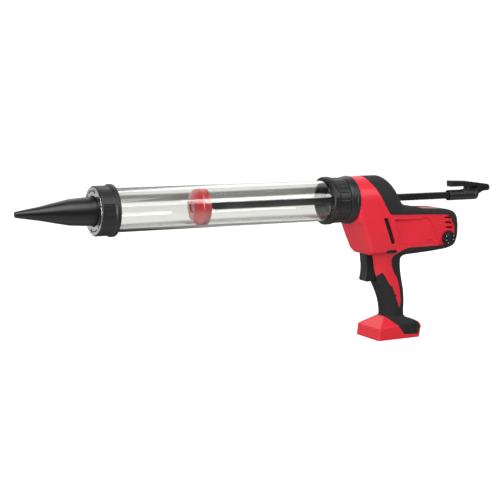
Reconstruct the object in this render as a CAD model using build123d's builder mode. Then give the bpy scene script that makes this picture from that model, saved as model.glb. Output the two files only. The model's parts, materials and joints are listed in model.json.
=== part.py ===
from build123d import *
import math
import os

os.makedirs("parts", exist_ok=True)

# Cordless caulking gun for 600 ml sausage packs. Millimetres.
# +X points along the barrel to the nozzle, +Y to the tool's left, +Z up.
# The origin is the centre of the battery foot's underside.

# ---------------------------------------------------------------- driving dimensions
GAP = 0.3                    # clearance between pieces of different bodies
FIT = 0.05                   # clearance of a seated piece or a running shaft, on the radius
SPLIT = 0.02                 # half the joint line between the two housing halves

# Barrel group
BARREL_Z = 204.0             # height of the barrel's axis
TUBE_OUTER_R = 28.5
TUBE_INNER_R = 25.5
TUBE_START_X = 94.0
TUBE_END_X = 453.0
SPIGOT_R = 21.6              # turning spigot behind the barrel
NOZZLE_TIP_X = 564.0
OUTLET_R = 2.4
OUTLET_LENGTH = 6.0
RING_FRONT_X = 458.7
RING_REAR_X = 434.0
RING_R = 32.2
RING_FLANGE_R = 34.5

# Rod and drive
ROD_WIDTH = 9.0
ROD_BOTTOM_Z = 199.2         # tips of the rack's teeth
ROD_TOP_Z = 208.9
ROD_REAR_X = -158.0
ROD_FRONT_X = 303.5
RACK_MODULE = 1.0
RACK_PINION_TEETH = 14
RACK_ADDENDUM = 0.8
SPUR_MODULE = 1.25
OUTPUT_TEETH = 42
CROSS_TEETH = 16
BEVEL_MODULE = 1.25
BEVEL_PINION_TEETH = 12
BEVEL_GEAR_TEETH = 24
PLANET_MODULE = 0.7
SUN_TEETH = 15
PLANET_TEETH = 18
RING_TEETH = 51
PRESSURE = math.radians(20.0)
DRIVE_X = 35.0               # both cross axles stand at this station
RACK_PITCH_Z = ROD_BOTTOM_Z + RACK_ADDENDUM
OUTPUT_Z = RACK_PITCH_Z - RACK_MODULE * RACK_PINION_TEETH / 2
MOTOR_Z = OUTPUT_Z - SPUR_MODULE * (OUTPUT_TEETH + CROSS_TEETH) / 2
PLANET_ORBIT_R = PLANET_MODULE * (SUN_TEETH + PLANET_TEETH) / 2
BEVEL_GEAR_R = BEVEL_MODULE * BEVEL_GEAR_TEETH / 2
BEVEL_PINION_R = BEVEL_MODULE * BEVEL_PINION_TEETH / 2
MOTOR_R = 20.5

# Housing
WALL = 2.8
SKIN = 1.2                   # depth that the rubber overmould is let into the shells
PROUD = 0.4                  # height that it stands over them
HEAD_R = 33.3                # round top of the gear head, about the barrel's axis
HEAD_FRONT_X = 75.0
TAIL_HALF_WIDTH = 31.0
FOOT_LENGTH = 70.0
FOOT_WIDTH = 58.0
FOOT_WALL_Z = 17.5           # top of the wall at the front
ROOF_REAR_Z = 24.0           # and at the rear
FOOT_ROOF_Z = 30.5
ROOF_SLOPE = 0.66            # rise of the roof's sides across the foot
CHANNEL_WIDTH = 48.0         # battery channel under the foot
CHANNEL_FRONT_X = 29.0
CHANNEL_ROOF_Z = 11.0
DIAL_X = -82.0
DIAL_Z = 144.0
DIAL_R = 10.8

BARREL_AXIS = Axis((0, 0, BARREL_Z), (1, 0, 0))
MOTOR_AXIS = Axis((0, 0, MOTOR_Z), (1, 0, 0))

# Side view of the gear head, from its front top corner round the hump and the chin.
HEAD_SIDE = [
    (HEAD_FRONT_X, 238.0), (27.0, 238.0), (3.5, 216.5), (-6.0, 195.0), (-20.0, 170.0),
    (-18.0, 122.5), (45.0, 123.5), (72.0, 170.0), (HEAD_FRONT_X, 171.0),
]
# Front view of the gear head below the barrel's axis.
HEAD_FRONT = [
    (-HEAD_R, BARREL_Z), (-31.5, 150.0), (-27.0, 120.0), (27.0, 120.0), (31.5, 150.0), (HEAD_R, BARREL_Z),
]
# Side view of the motor tail.
TAIL_SIDE = [
    (20.0, 194.0), (-22.0, 194.0), (-45.0, 189.0), (-85.0, 187.2), (-104.0, 181.5),
    (-112.0, 166.0), (-112.0, 146.0), (-101.0, 128.5), (-82.0, 125.5), (-20.0, 121.5), (20.0, 121.5),
]
# Grip sections: height, centre in X, half length, half width.
GRIP_SECTIONS = [
    (20.0, -4.7, 18.2, 17.0), (38.0, -4.5, 17.3, 16.5), (56.0, -2.9, 19.4, 17.0), (72.0, 1.5, 22.2, 17.0),
    (84.0, 6.5, 24.3, 17.0), (100.0, 11.0, 25.5, 17.5), (114.0, 12.5, 26.0, 19.5), (130.0, 12.0, 30.0, 24.5),
]
# Side view of everything that the rubber overmould covers: hump, tail top, tail end, tail
# bottom, the strip down the grip's back, the grip's front pad and the patch on the foot.
RUBBER_SIDE = [
    (55.5, 245.0), (53.7, 232.0), (47.0, 221.4), (36.3, 205.0), (27.0, 192.0), (19.0, 183.5),
    (-79.0, 179.3), (-86.0, 177.6), (-92.0, 170.0), (-96.0, 161.0), (-97.0, 153.0), (-95.0, 137.0),
    (-88.0, 134.0), (-12.0, 134.0), (-3.0, 131.5), (4.0, 127.6), (9.0, 121.5), (11.0, 114.5),
    (8.0, 105.5), (3.5, 96.0), (-2.3, 89.0), (-6.0, 80.0), (-10.6, 55.0), (-8.4, 41.7),
    (-5.5, 48.0), (2.3, 68.0), (6.0, 75.4), (10.6, 79.5), (21.7, 96.4), (25.0, 97.4),
    (30.0, 92.0), (34.5, 84.0), (60.0, 84.0), (60.0, 34.0), (15.8, 34.0), (6.7, 24.6),
    (-2.5, 14.8), (-9.0, 6.4), (-60.0, 4.7), (-130.0, 60.0), (-130.0, 245.0),
]


# ---------------------------------------------------------------- helpers
def across(y):
    """Plane parallel to XZ at the given y; extruding from it runs towards -Y."""
    return Plane.XZ.offset(-y)


def lathe(axis_z, *stations):
    """Points of a half profile from (x, radius) pairs, for turning about an axis along X."""
    return [(x, axis_z + radius) for x, radius in stations]


def involute(angle):
    return math.tan(angle) - angle


def half_tooth_angle(radius, teeth, module, backlash):
    """Half the angle that an involute tooth spans at a radius."""
    pitch_r = module * teeth / 2
    base_r = pitch_r * math.cos(PRESSURE)
    flank = involute(math.acos(base_r / max(radius, base_r)))
    return math.pi / (2 * teeth) - backlash / (2 * pitch_r) + involute(PRESSURE) - flank


def gear_points(centre, teeth, module, phase=0.0, addendum=0.9, dedendum=1.15, backlash=0.12):
    """Outline of a spur gear with a tooth centred at the phase angle, in degrees."""
    pitch_r = module * teeth / 2
    radii = [pitch_r + module * step for step in (-dedendum, -0.45, 0.0, 0.5, addendum)]
    points = []
    for tooth in range(teeth):
        middle = math.radians(phase) + 2 * math.pi * tooth / teeth
        rising = [(r, middle - half_tooth_angle(r, teeth, module, backlash)) for r in radii]
        falling = [(r, middle + half_tooth_angle(r, teeth, module, backlash)) for r in reversed(radii)]
        points += rising + falling
    return [(centre[0] + r * math.cos(a), centre[1] + r * math.sin(a)) for r, a in points]


def bevel_points(centre, teeth, pitch_r, apex_distance, phase, scale, thinning=0.8):
    """Outline of a straight bevel gear in a plane across its axis, scaled towards the apex."""
    cone = math.atan2(pitch_r, apex_distance)
    reach = math.hypot(pitch_r, apex_distance)
    root_r = apex_distance * math.tan(cone - 1.2 * BEVEL_MODULE / reach) * scale
    tip_r = apex_distance * math.tan(cone + 0.8 * BEVEL_MODULE / reach) * scale
    pitch_angle = 2 * math.pi / teeth
    points = []
    for tooth in range(teeth):
        middle = math.radians(phase) + pitch_angle * tooth
        for radius, share in ((root_r, -0.36), (tip_r, -0.13), (tip_r, 0.13), (root_r, 0.36)):
            angle = middle + share * thinning * pitch_angle
            points.append((centre[0] + radius * math.cos(angle), centre[1] + radius * math.sin(angle)))
    return points


def head_form(grow):
    """Gear head: its side view extruded across, then cut to its rounded front view."""
    with BuildPart() as head:
        with BuildSketch(Plane.XZ) as side:
            Polygon(*HEAD_SIDE, align=None)
            fillet(side.vertices().group_by(Axis.Y)[-1].sort_by(Axis.X)[0], 14.0)
            offset(amount=grow, kind=Kind.INTERSECTION)
        extrude(amount=60.0, both=True)
        with BuildSketch(Plane.YZ.offset(-40.0)):
            Polygon(*HEAD_FRONT, align=None)
            offset(amount=grow, kind=Kind.INTERSECTION)
            with Locations((0, BARREL_Z)):
                Circle(HEAD_R + grow)
        extrude(amount=140.0, mode=Mode.INTERSECT)
    return head.part


def tail_form(grow):
    """Motor tail: side view, front view and plan, each extruded and kept where all three meet."""
    with BuildPart() as tail:
        with BuildSketch(Plane.XZ) as side:
            Polygon(*TAIL_SIDE, align=None)
            offset(amount=grow, kind=Kind.INTERSECTION)
        extrude(amount=60.0, both=True)
        with BuildSketch(Plane.YZ.offset(-130.0)):
            with Locations((0, MOTOR_Z)):
                RectangleRounded(2 * (TAIL_HALF_WIDTH + grow), 76.0 + 2 * grow, 20.0 + grow)
        extrude(amount=148.0, mode=Mode.INTERSECT)
        with BuildSketch(Plane.XY.offset(100.0)) as plan:
            with Locations((-112.0 - grow, 0)):
                Rectangle(130.0, 2 * (TAIL_HALF_WIDTH + grow), align=(Align.MIN, Align.CENTER))
            fillet(plan.vertices().group_by(Axis.X)[0], 17.0 + grow)
        extrude(amount=120.0, mode=Mode.INTERSECT)
    return tail.part


def grip_form(grow):
    """Grip: a loft through its oval sections."""
    with BuildPart() as grip:
        for height, centre_x, half_length, half_width in GRIP_SECTIONS:
            with BuildSketch(Plane.XY.offset(height)):
                with Locations((centre_x, 0)):
                    Ellipse(half_length + grow, half_width + grow)
        loft()
    return grip.part


def foot_form(grow, base):
    """Battery foot: upright walls under a hipped roof that runs up to the grip."""
    rear_lip = (-FOOT_LENGTH / 2 - 3.5 - grow, FOOT_WALL_Z)
    with BuildPart() as foot:
        with BuildSketch(Plane.XY.offset(base)):
            with Locations((-2.0, 0)):
                RectangleRounded(FOOT_LENGTH + 4.0 + 2 * grow, FOOT_WIDTH + 2 * grow, 4.0 + grow)
        extrude(amount=FOOT_ROOF_Z + grow - base)
        with BuildSketch(Plane.XZ):
            Polygon(
                (FOOT_LENGTH / 2 + grow, base), (FOOT_LENGTH / 2 - 1.5 + grow, FOOT_WALL_Z + grow),
                (15.0 + grow, FOOT_ROOF_Z + grow), (-18.0 - grow, FOOT_ROOF_Z + grow),
                (-33.0 - grow, ROOF_REAR_Z + grow), rear_lip, (-FOOT_LENGTH / 2 - grow, base),
                align=None,
            )
        extrude(amount=60.0, both=True, mode=Mode.INTERSECT)
        # The two side slopes of the roof, which climb from front to rear along the wall's top.
        for side in (-1, 1):
            eave = Plane(
                origin=(FOOT_LENGTH / 2, side * (FOOT_WIDTH / 2 + grow), FOOT_WALL_Z + grow),
                x_dir=(-FOOT_LENGTH, 0, ROOF_REAR_Z - FOOT_WALL_Z),
                z_dir=((ROOF_REAR_Z - FOOT_WALL_Z) / FOOT_LENGTH, side * ROOF_SLOPE, 1.0),
            )
            with BuildSketch(eave):
                Rectangle(300.0, 300.0)
            extrude(amount=60.0, mode=Mode.SUBTRACT)
    return foot.part


def body_form(grow, foot_base=0.0):
    """The whole outer form of the tool's body, grown on every side."""
    with BuildPart() as form:
        add(head_form(grow))
        add(tail_form(grow))
        add(grip_form(grow))
        add(foot_form(grow, foot_base))
    return form.part


# ---------------------------------------------------------------- barrel group
with BuildPart() as barrel_tube:
    with BuildSketch(Plane.YZ.offset(TUBE_START_X)):
        with Locations((0, BARREL_Z)):
            Circle(TUBE_OUTER_R)
            Circle(TUBE_INNER_R, mode=Mode.SUBTRACT)
    extrude(amount=TUBE_END_X - TUBE_START_X)

# The socket plugs the tube's rear end; its spigot turns in the bezel, held by the flange.
with BuildPart() as swivel_socket:
    with BuildSketch(Plane.XZ):
        Polygon(
            *lathe(
                BARREL_Z, (70.0, 8.8), (70.0, 26.0), (74.4, 26.0), (74.4, SPIGOT_R), (89.0, SPIGOT_R),
                (89.0, 27.0), (93.9, 27.0), (93.9, 25.4), (99.0, 25.4), (99.0, 21.0), (97.0, 20.0),
                (97.0, 13.5), (100.5, 12.5), (100.5, 11.7), (98.6, 11.2), (98.6, 8.8),
            ),
            align=None,
        )
    revolve(axis=BARREL_AXIS)

with BuildPart() as locking_collar:
    with BuildSketch(Plane.XZ):
        Polygon(
            *lathe(
                BARREL_Z, (89.0, 27.1), (89.0, 31.5), (90.0, 32.15), (107.5, 32.15), (109.5, 33.3),
                (115.5, 33.3), (117.5, 32.3), (117.5, 28.55), (93.9, 28.55), (93.9, 27.1),
            ),
            align=None,
        )
    revolve(axis=BARREL_AXIS)
    # Finger grooves round the rear half of the collar.
    with BuildSketch(Plane.YZ.offset(91.5)):
        with Locations((0, BARREL_Z)):
            with PolarLocations(32.4, 16):
                Rectangle(0.9, 1.4)
    extrude(amount=14.0, mode=Mode.SUBTRACT)

with BuildPart() as nozzle:
    with BuildSketch(Plane.XZ):
        with BuildLine():
            Polyline(
                *lathe(
                    BARREL_Z, (NOZZLE_TIP_X, OUTLET_R), (NOZZLE_TIP_X, 3.3), (NOZZLE_TIP_X - 0.8, 3.9),
                    (530.0, 8.0), (510.0, 12.2),
                )
            )
            Spline(*lathe(BARREL_Z, (510.0, 12.2), (492.0, 16.0), (471.0, 17.6), (455.1, 18.3)))
            Polyline(
                *lathe(
                    BARREL_Z, (455.1, 18.3), (455.1, 27.0), (453.3, 27.0), (453.3, 16.3), (471.0, 15.6),
                    (491.0, 14.0), (509.0, 10.2), (NOZZLE_TIP_X - OUTLET_LENGTH, OUTLET_R),
                    (NOZZLE_TIP_X, OUTLET_R),
                )
            )
        make_face()
    revolve(axis=BARREL_AXIS)

with BuildPart() as front_ring:
    with BuildSketch(Plane.XZ):
        Polygon(
            *lathe(
                BARREL_Z, (RING_REAR_X, 28.85), (RING_REAR_X, 33.6), (RING_REAR_X + 0.9, RING_FLANGE_R),
                (439.5, RING_FLANGE_R), (441.5, RING_R), (456.9, RING_R), (RING_FRONT_X, 30.6),
                (RING_FRONT_X, 18.6), (455.4, 18.6), (455.4, 28.85),
            ),
            align=None,
        )
    revolve(axis=BARREL_AXIS)
    # Grip grooves round the ring.
    with BuildSketch(Plane.YZ.offset(441.6)):
        with Locations((0, BARREL_Z)):
            with PolarLocations(32.3, 16):
                Rectangle(0.9, 1.2)
    extrude(amount=15.0, mode=Mode.SUBTRACT)

with BuildPart() as bezel_ring:
    with BuildSketch(Plane.XZ):
        Polygon(
            *lathe(
                BARREL_Z, (HEAD_FRONT_X, SPIGOT_R + GAP), (HEAD_FRONT_X, 33.6), (77.0, 34.0), (84.0, 33.0),
                (88.6, 31.6), (88.6, SPIGOT_R + GAP),
            ),
            align=None,
        )
    revolve(axis=BARREL_AXIS)

# ---------------------------------------------------------------- rod group
RACK_PITCH = math.pi * RACK_MODULE
RACK_ROOT_Z = RACK_PITCH_Z + 1.15 * RACK_MODULE
RACK_HALF_TOOTH = RACK_PITCH / 4 - 0.06
RACK_TAPER = math.tan(PRESSURE)
RACK_FIRST_X = -140.0
RACK_LAST_X = 292.0

with BuildPart() as rack_rod:
    tooth_count_rear = int((DRIVE_X - RACK_FIRST_X) / RACK_PITCH)
    tooth_count_front = int((RACK_LAST_X - DRIVE_X) / RACK_PITCH)
    rack_outline = [(ROD_REAR_X, ROD_TOP_Z), (ROD_REAR_X, RACK_ROOT_Z)]
    # A gap between two teeth faces the pinion's middle.
    for tooth_index in range(-tooth_count_rear, tooth_count_front):
        tooth_x = DRIVE_X + (tooth_index + 0.5) * RACK_PITCH
        root_half = RACK_HALF_TOOTH + (RACK_ROOT_Z - RACK_PITCH_Z) * RACK_TAPER
        tip_half = RACK_HALF_TOOTH - (RACK_PITCH_Z - ROD_BOTTOM_Z) * RACK_TAPER
        rack_outline += [
            (tooth_x - root_half, RACK_ROOT_Z), (tooth_x - tip_half, ROD_BOTTOM_Z),
            (tooth_x + tip_half, ROD_BOTTOM_Z), (tooth_x + root_half, RACK_ROOT_Z),
        ]
    rack_outline += [(ROD_FRONT_X, RACK_ROOT_Z), (ROD_FRONT_X, ROD_TOP_Z)]
    with BuildSketch(across(ROD_WIDTH / 2)):
        Polygon(*rack_outline, align=None)
    extrude(amount=ROD_WIDTH)
    # Cross hole for the handle's pin, and the piston screw's hole in the front end.
    with BuildSketch(across(ROD_WIDTH)):
        with Locations((-150.0, 205.5)):
            Circle(1.5 + FIT)
    extrude(amount=2 * ROD_WIDTH, mode=Mode.SUBTRACT)
    with BuildSketch(Plane.YZ.offset(ROD_FRONT_X - 14.0)):
        with Locations((0, BARREL_Z)):
            Circle(2.5 + FIT)
    extrude(amount=14.0, mode=Mode.SUBTRACT)

with BuildPart() as piston:
    with BuildSketch(Plane.XZ):
        Polygon(
            *lathe(
                BARREL_Z, (304.4, 9.1), (304.4, 24.6), (305.2, 25.15), (314.6, 25.15), (315.6, 24.4),
                (319.6, 16.0), (322.0, 7.0), (319.0, 7.0), (319.0, 9.1),
            ),
            align=None,
        )
    revolve(axis=BARREL_AXIS)

with BuildPart() as piston_hub:
    with BuildSketch(Plane.XZ):
        Polygon(
            *lathe(
                BARREL_Z, (ROD_FRONT_X + 0.1, 2.6), (ROD_FRONT_X + 0.1, 8.2), (304.4, 9.0), (318.9, 9.0),
                (318.9, 2.6),
            ),
            align=None,
        )
    revolve(axis=BARREL_AXIS)

with BuildPart() as piston_screw:
    with BuildSketch(Plane.XZ):
        Polygon(
            *lathe(
                BARREL_Z, (ROD_FRONT_X - 13.0, 0.0), (ROD_FRONT_X - 13.0, 2.5), (319.0, 2.5), (319.0, 6.4),
                (320.2, 6.4), (321.4, 4.6), (321.4, 2.4), (319.6, 2.4), (319.6, 0.0),
            ),
            align=None,
        )
    revolve(axis=BARREL_AXIS)

# Pull handle and hanging hook on the rod's rear end.
with BuildPart() as hook_handle:
    with BuildSketch(Plane.XZ) as hook_side:
        Polygon(
            (-103.0, 197.0), (-103.0, 211.5), (-127.0, 211.5), (-131.5, 214.0), (-127.0, 216.4), (-105.5, 217.2),
            (-104.8, 225.3), (-134.0, 224.0), (-181.0, 217.6), (-181.0, 209.2), (-166.0, 208.4),
            (-160.6, 206.0), (-160.6, 198.0), (-157.0, 197.0),
            align=None,
        )
    extrude(amount=7.5, both=True)
    with BuildSketch(Plane.XY.offset(190.0)) as hook_plan:
        Polygon(
            (-95.0, -7.5), (-95.0, 7.5), (-150.0, 7.5), (-182.0, 5.0), (-182.0, -5.0), (-150.0, -7.5),
            align=None,
        )
    extrude(amount=40.0, mode=Mode.INTERSECT)
    with BuildSketch(Plane.YZ.offset(ROD_REAR_X - FIT)):
        with Locations((0, (ROD_BOTTOM_Z + ROD_TOP_Z) / 2)):
            Rectangle(ROD_WIDTH + 2 * FIT, ROD_TOP_Z - ROD_BOTTOM_Z + 2 * FIT)
    extrude(amount=70.0, mode=Mode.SUBTRACT)
    with BuildSketch(across(10.0)):
        with Locations((-150.0, 205.5)):
            Circle(1.5 + FIT)
    extrude(amount=20.0, mode=Mode.SUBTRACT)

with BuildPart() as handle_pin:
    with BuildSketch(across(7.3)):
        with Locations((-150.0, 205.5)):
            Circle(1.5)
    extrude(amount=14.6)

# ---------------------------------------------------------------- drive train
with BuildPart() as rack_pinion:
    with BuildSketch(across(5.0)):
        Polygon(
            *gear_points((DRIVE_X, OUTPUT_Z), RACK_PINION_TEETH, RACK_MODULE, phase=90.0, addendum=0.85),
            align=None,
        )
        with Locations((DRIVE_X, OUTPUT_Z)):
            Circle(4.0 + FIT, mode=Mode.SUBTRACT)
    extrude(amount=10.0)

with BuildPart() as output_gear:
    with BuildSketch(across(-8.0)):
        Polygon(*gear_points((DRIVE_X, OUTPUT_Z), OUTPUT_TEETH, SPUR_MODULE, phase=90.0), align=None)
        with Locations((DRIVE_X, OUTPUT_Z)):
            Circle(4.0 + FIT, mode=Mode.SUBTRACT)
            with PolarLocations(15.0, 6):
                Circle(4.2, mode=Mode.SUBTRACT)
    extrude(amount=6.0)

with BuildPart() as output_shaft:
    with BuildSketch(across(22.0)):
        with Locations((DRIVE_X, OUTPUT_Z)):
            Circle(4.0)
    extrude(amount=44.0)
    chamfer(output_shaft.edges().filter_by(GeomType.CIRCLE), 0.4)

with BuildPart() as cross_pinion:
    with BuildSketch(across(-8.0)):
        Polygon(
            *gear_points((DRIVE_X, MOTOR_Z), CROSS_TEETH, SPUR_MODULE, phase=90.0 + 180.0 / CROSS_TEETH),
            align=None,
        )
        with Locations((DRIVE_X, MOTOR_Z)):
            Circle(3.5 + FIT, mode=Mode.SUBTRACT)
    extrude(amount=6.0)

with BuildPart() as cross_shaft:
    with BuildSketch(across(22.0)):
        with Locations((DRIVE_X, MOTOR_Z)):
            Circle(3.5)
    extrude(amount=44.0)
    chamfer(cross_shaft.edges().filter_by(GeomType.CIRCLE), 0.4)

BEVEL_FACE = 0.72            # small end of the bevel teeth, as a share of the apex distance

with BuildPart() as bevel_gear:
    for share in (1.0, BEVEL_FACE):
        with BuildSketch(across(BEVEL_PINION_R * share)):
            Polygon(
                *bevel_points(
                    (DRIVE_X, MOTOR_Z), BEVEL_GEAR_TEETH, BEVEL_GEAR_R, BEVEL_PINION_R,
                    90.0 + 180.0 / BEVEL_GEAR_TEETH, share,
                ),
                align=None,
            )
    loft(ruled=True)
    with BuildSketch(across(BEVEL_PINION_R + 5.0)):
        with Locations((DRIVE_X, MOTOR_Z)):
            Circle(11.0)
    extrude(amount=5.2)
    with BuildSketch(across(30.0)):
        with Locations((DRIVE_X, MOTOR_Z)):
            Circle(3.5 + FIT)
    extrude(amount=40.0, mode=Mode.SUBTRACT)

with BuildPart() as bevel_pinion:
    for share in (1.0, BEVEL_FACE):
        with BuildSketch(Plane.YZ.offset(DRIVE_X - BEVEL_GEAR_R * share)):
            Polygon(
                *bevel_points((0, MOTOR_Z), BEVEL_PINION_TEETH, BEVEL_PINION_R, BEVEL_GEAR_R, 0.0, share),
                align=None,
            )
    loft(ruled=True)
    with BuildSketch(Plane.YZ.offset(3.4)):
        with Locations((0, MOTOR_Z)):
            Circle(4.0)
    extrude(amount=DRIVE_X - BEVEL_GEAR_R - 3.3)

with BuildPart() as driven_clutch_plate:
    with BuildSketch(Plane.YZ.offset(0.8)):
        with Locations((0, MOTOR_Z)):
            Circle(11.0)
    extrude(amount=2.6)

# ---------------------------------------------------------------- planetary stage
with BuildPart() as sun_gear:
    with BuildSketch(Plane.YZ.offset(-13.0)):
        Polygon(*gear_points((0, MOTOR_Z), SUN_TEETH, PLANET_MODULE, backlash=0.1), align=None)
        with Locations((0, MOTOR_Z)):
            Circle(2.5 + FIT, mode=Mode.SUBTRACT)
    extrude(amount=7.0)

planet_gears = []
for planet_index in range(3):
    orbit_angle = math.radians(120.0 * planet_index)
    planet_centre = (
        PLANET_ORBIT_R * math.cos(orbit_angle), MOTOR_Z + PLANET_ORBIT_R * math.sin(orbit_angle),
    )
    with BuildPart() as planet_gear:
        with BuildSketch(Plane.YZ.offset(-13.0)):
            Polygon(
                *gear_points(
                    planet_centre, PLANET_TEETH, PLANET_MODULE, phase=180.0 / PLANET_TEETH, backlash=0.1,
                ),
                align=None,
            )
            with Locations(planet_centre):
                Circle(2.0 + FIT, mode=Mode.SUBTRACT)
        extrude(amount=7.0)
    planet_gears.append(planet_gear)

with BuildPart() as planet_carrier:
    with BuildSketch(Plane.YZ.offset(-5.6)):
        with Locations((0, MOTOR_Z)):
            Circle(16.2)
    extrude(amount=3.0)
    with BuildSketch(Plane.YZ.offset(-13.0)):
        with Locations((0, MOTOR_Z)):
            with PolarLocations(PLANET_ORBIT_R, 3):
                Circle(2.0)
    extrude(amount=8.0)

with BuildPart() as drive_clutch_plate:
    with BuildSketch(Plane.YZ.offset(-2.6)):
        with Locations((0, MOTOR_Z)):
            Circle(11.0)
    extrude(amount=3.1)

# The ring gear's tooth spaces are an external gear's teeth, with the backlash added to them.
with BuildPart() as ring_gear:
    with BuildSketch(Plane.YZ.offset(-14.2)):
        with Locations((0, MOTOR_Z)):
            Circle(MOTOR_R)
        Polygon(
            *gear_points(
                (0, MOTOR_Z), RING_TEETH, PLANET_MODULE, phase=180.0 / RING_TEETH,
                addendum=1.15, dedendum=0.8, backlash=-0.1,
            ),
            align=None, mode=Mode.SUBTRACT,
        )
    extrude(amount=9.0)

with BuildPart() as gearbox_cover:
    with BuildSketch(Plane.XZ):
        Polygon(
            *lathe(
                MOTOR_Z, (-5.1, 18.0), (-5.1, MOTOR_R), (11.0, MOTOR_R), (12.6, 17.0), (12.6, 4.4),
                (11.4, 4.4), (11.4, 9.05), (6.0, 9.05), (6.0, 11.8), (4.0, 11.8), (4.0, 18.0),
            ),
            align=None,
        )
    revolve(axis=MOTOR_AXIS)


def bearing(plane, centre, bore_r, outer_r, width):
    """Ball bearing drawn as one solid: two races joined by a thinner web for the shield."""
    with BuildPart() as race:
        with BuildSketch(plane):
            with Locations(centre):
                Circle(outer_r)
                Circle(bore_r, mode=Mode.SUBTRACT)
        extrude(amount=width)
        with BuildSketch(plane):
            with Locations(centre):
                Circle(outer_r - 1.1)
                Circle(bore_r + 1.1, mode=Mode.SUBTRACT)
        extrude(amount=0.4, mode=Mode.SUBTRACT)
    return race.part


with BuildPart() as pinion_bearing:
    add(bearing(Plane.YZ.offset(6.1), (0, MOTOR_Z), 4.0 + FIT, 9.0, 5.2))

with BuildPart() as output_bearings:
    add(bearing(across(22.0), (DRIVE_X, OUTPUT_Z), 4.0 + FIT, 8.0, 4.0))
    add(bearing(across(-18.0), (DRIVE_X, OUTPUT_Z), 4.0 + FIT, 8.0, 4.0))

with BuildPart() as cross_bearings:
    add(bearing(across(22.0), (DRIVE_X, MOTOR_Z), 3.5 + FIT, 7.0, 4.0))
    add(bearing(across(-18.0), (DRIVE_X, MOTOR_Z), 3.5 + FIT, 7.0, 4.0))


def gear_plate(inner_y, outer_y):
    """Side plate of the gear frame, with a pocket for each bearing."""
    with BuildPart() as plate:
        with BuildSketch(across(outer_y)) as plate_side:
            Polygon(
                (16.0, 148.0), (46.0, 142.0), (58.0, 164.0), (60.0, 196.0), (54.0, 210.0), (18.0, 210.0),
                (10.0, 196.0), (14.0, 178.0),
                align=None,
            )
            with Locations((DRIVE_X, OUTPUT_Z)):
                Circle(8.0 + FIT, mode=Mode.SUBTRACT)
            with Locations((DRIVE_X, MOTOR_Z)):
                Circle(7.0 + FIT, mode=Mode.SUBTRACT)
            with Locations((22.0, 176.0), (50.0, 176.0)):
                Circle(3.0, mode=Mode.SUBTRACT)
        extrude(amount=outer_y - inner_y)
    return plate.part


with BuildPart() as gear_plate_left:
    add(gear_plate(18.0, 22.0))

with BuildPart() as gear_plate_right:
    add(gear_plate(-22.0, -18.0))

# ---------------------------------------------------------------- motor
MOTOR_FRONT_X = -16.0
MOTOR_REAR_X = -70.0

with BuildPart() as motor_can:
    with BuildSketch(Plane.XZ):
        Polygon(
            *lathe(
                MOTOR_Z, (MOTOR_REAR_X + 4.0, 18.8), (MOTOR_REAR_X + 4.0, MOTOR_R),
                (MOTOR_FRONT_X - 1.0, MOTOR_R), (MOTOR_FRONT_X, 19.0), (MOTOR_FRONT_X, 7.0),
                (-14.6, 7.0), (-14.6, 3.0), (MOTOR_FRONT_X - 2.0, 3.0), (MOTOR_FRONT_X - 2.0, 18.8),
            ),
            align=None,
        )
    revolve(axis=MOTOR_AXIS)

with BuildPart() as motor_end_cap:
    with BuildSketch(Plane.XZ):
        Polygon(
            *lathe(
                MOTOR_Z, (MOTOR_REAR_X, 3.0), (MOTOR_REAR_X, 19.6), (MOTOR_REAR_X + 0.9, MOTOR_R),
                (MOTOR_REAR_X + 3.9, MOTOR_R), (MOTOR_REAR_X + 3.9, 18.7), (MOTOR_REAR_X + 8.0, 18.7),
                (MOTOR_REAR_X + 8.0, 16.8), (MOTOR_REAR_X + 3.0, 16.8), (MOTOR_REAR_X + 3.0, 3.0),
            ),
            align=None,
        )
    revolve(axis=MOTOR_AXIS)

# Two curved magnets line the can.
with BuildPart() as motor_magnets:
    with BuildSketch(Plane.YZ.offset(-60.0)):
        with Locations((0, MOTOR_Z)):
            Circle(18.75)
            Circle(15.2, mode=Mode.SUBTRACT)
            Rectangle(16.0, 50.0, mode=Mode.SUBTRACT)
    extrude(amount=38.0)

with BuildPart() as motor_shaft:
    with BuildSketch(Plane.YZ.offset(-80.0)):
        with Locations((0, MOTOR_Z)):
            Circle(2.5)
    extrude(amount=73.5)

# Wound armature: seven slots between the poles, with the windings' overhang and commutator.
with BuildPart() as armature:
    with BuildSketch(Plane.YZ.offset(-56.0)):
        with Locations((0, MOTOR_Z)):
            Circle(14.6)
            with PolarLocations(13.6, 7):
                Rectangle(3.4, 1.8, mode=Mode.SUBTRACT)
            Circle(2.5 + FIT, mode=Mode.SUBTRACT)
    extrude(amount=30.0)

with BuildPart() as winding_ends:
    for start_x, depth in ((-60.4, 4.3), (-25.9, 4.6)):
        with BuildSketch(Plane.YZ.offset(start_x)):
            with Locations((0, MOTOR_Z)):
                Circle(13.0)
                Circle(5.0, mode=Mode.SUBTRACT)
        extrude(amount=depth)

with BuildPart() as commutator:
    with BuildSketch(Plane.YZ.offset(-66.0)):
        with Locations((0, MOTOR_Z)):
            Circle(4.9)
            Circle(2.5 + FIT, mode=Mode.SUBTRACT)
    extrude(amount=9.9)

with BuildPart() as cooling_fan:
    with BuildSketch(Plane.YZ.offset(-79.5)):
        with Locations((0, MOTOR_Z)):
            Circle(14.5)
            Circle(2.5 + FIT, mode=Mode.SUBTRACT)
    extrude(amount=1.5)
    with BuildSketch(Plane.YZ.offset(-79.5)):
        with Locations((0, MOTOR_Z)):
            with PolarLocations(9.4, 9):
                Rectangle(9.4, 1.4, rotation=25.0)
            Circle(5.0)
            Circle(2.5 + FIT, mode=Mode.SUBTRACT)
    extrude(amount=7.0)

# ---------------------------------------------------------------- rod guides
BUSH_WIDTH = 14.0
BUSH_HEIGHT = 16.0


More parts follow.
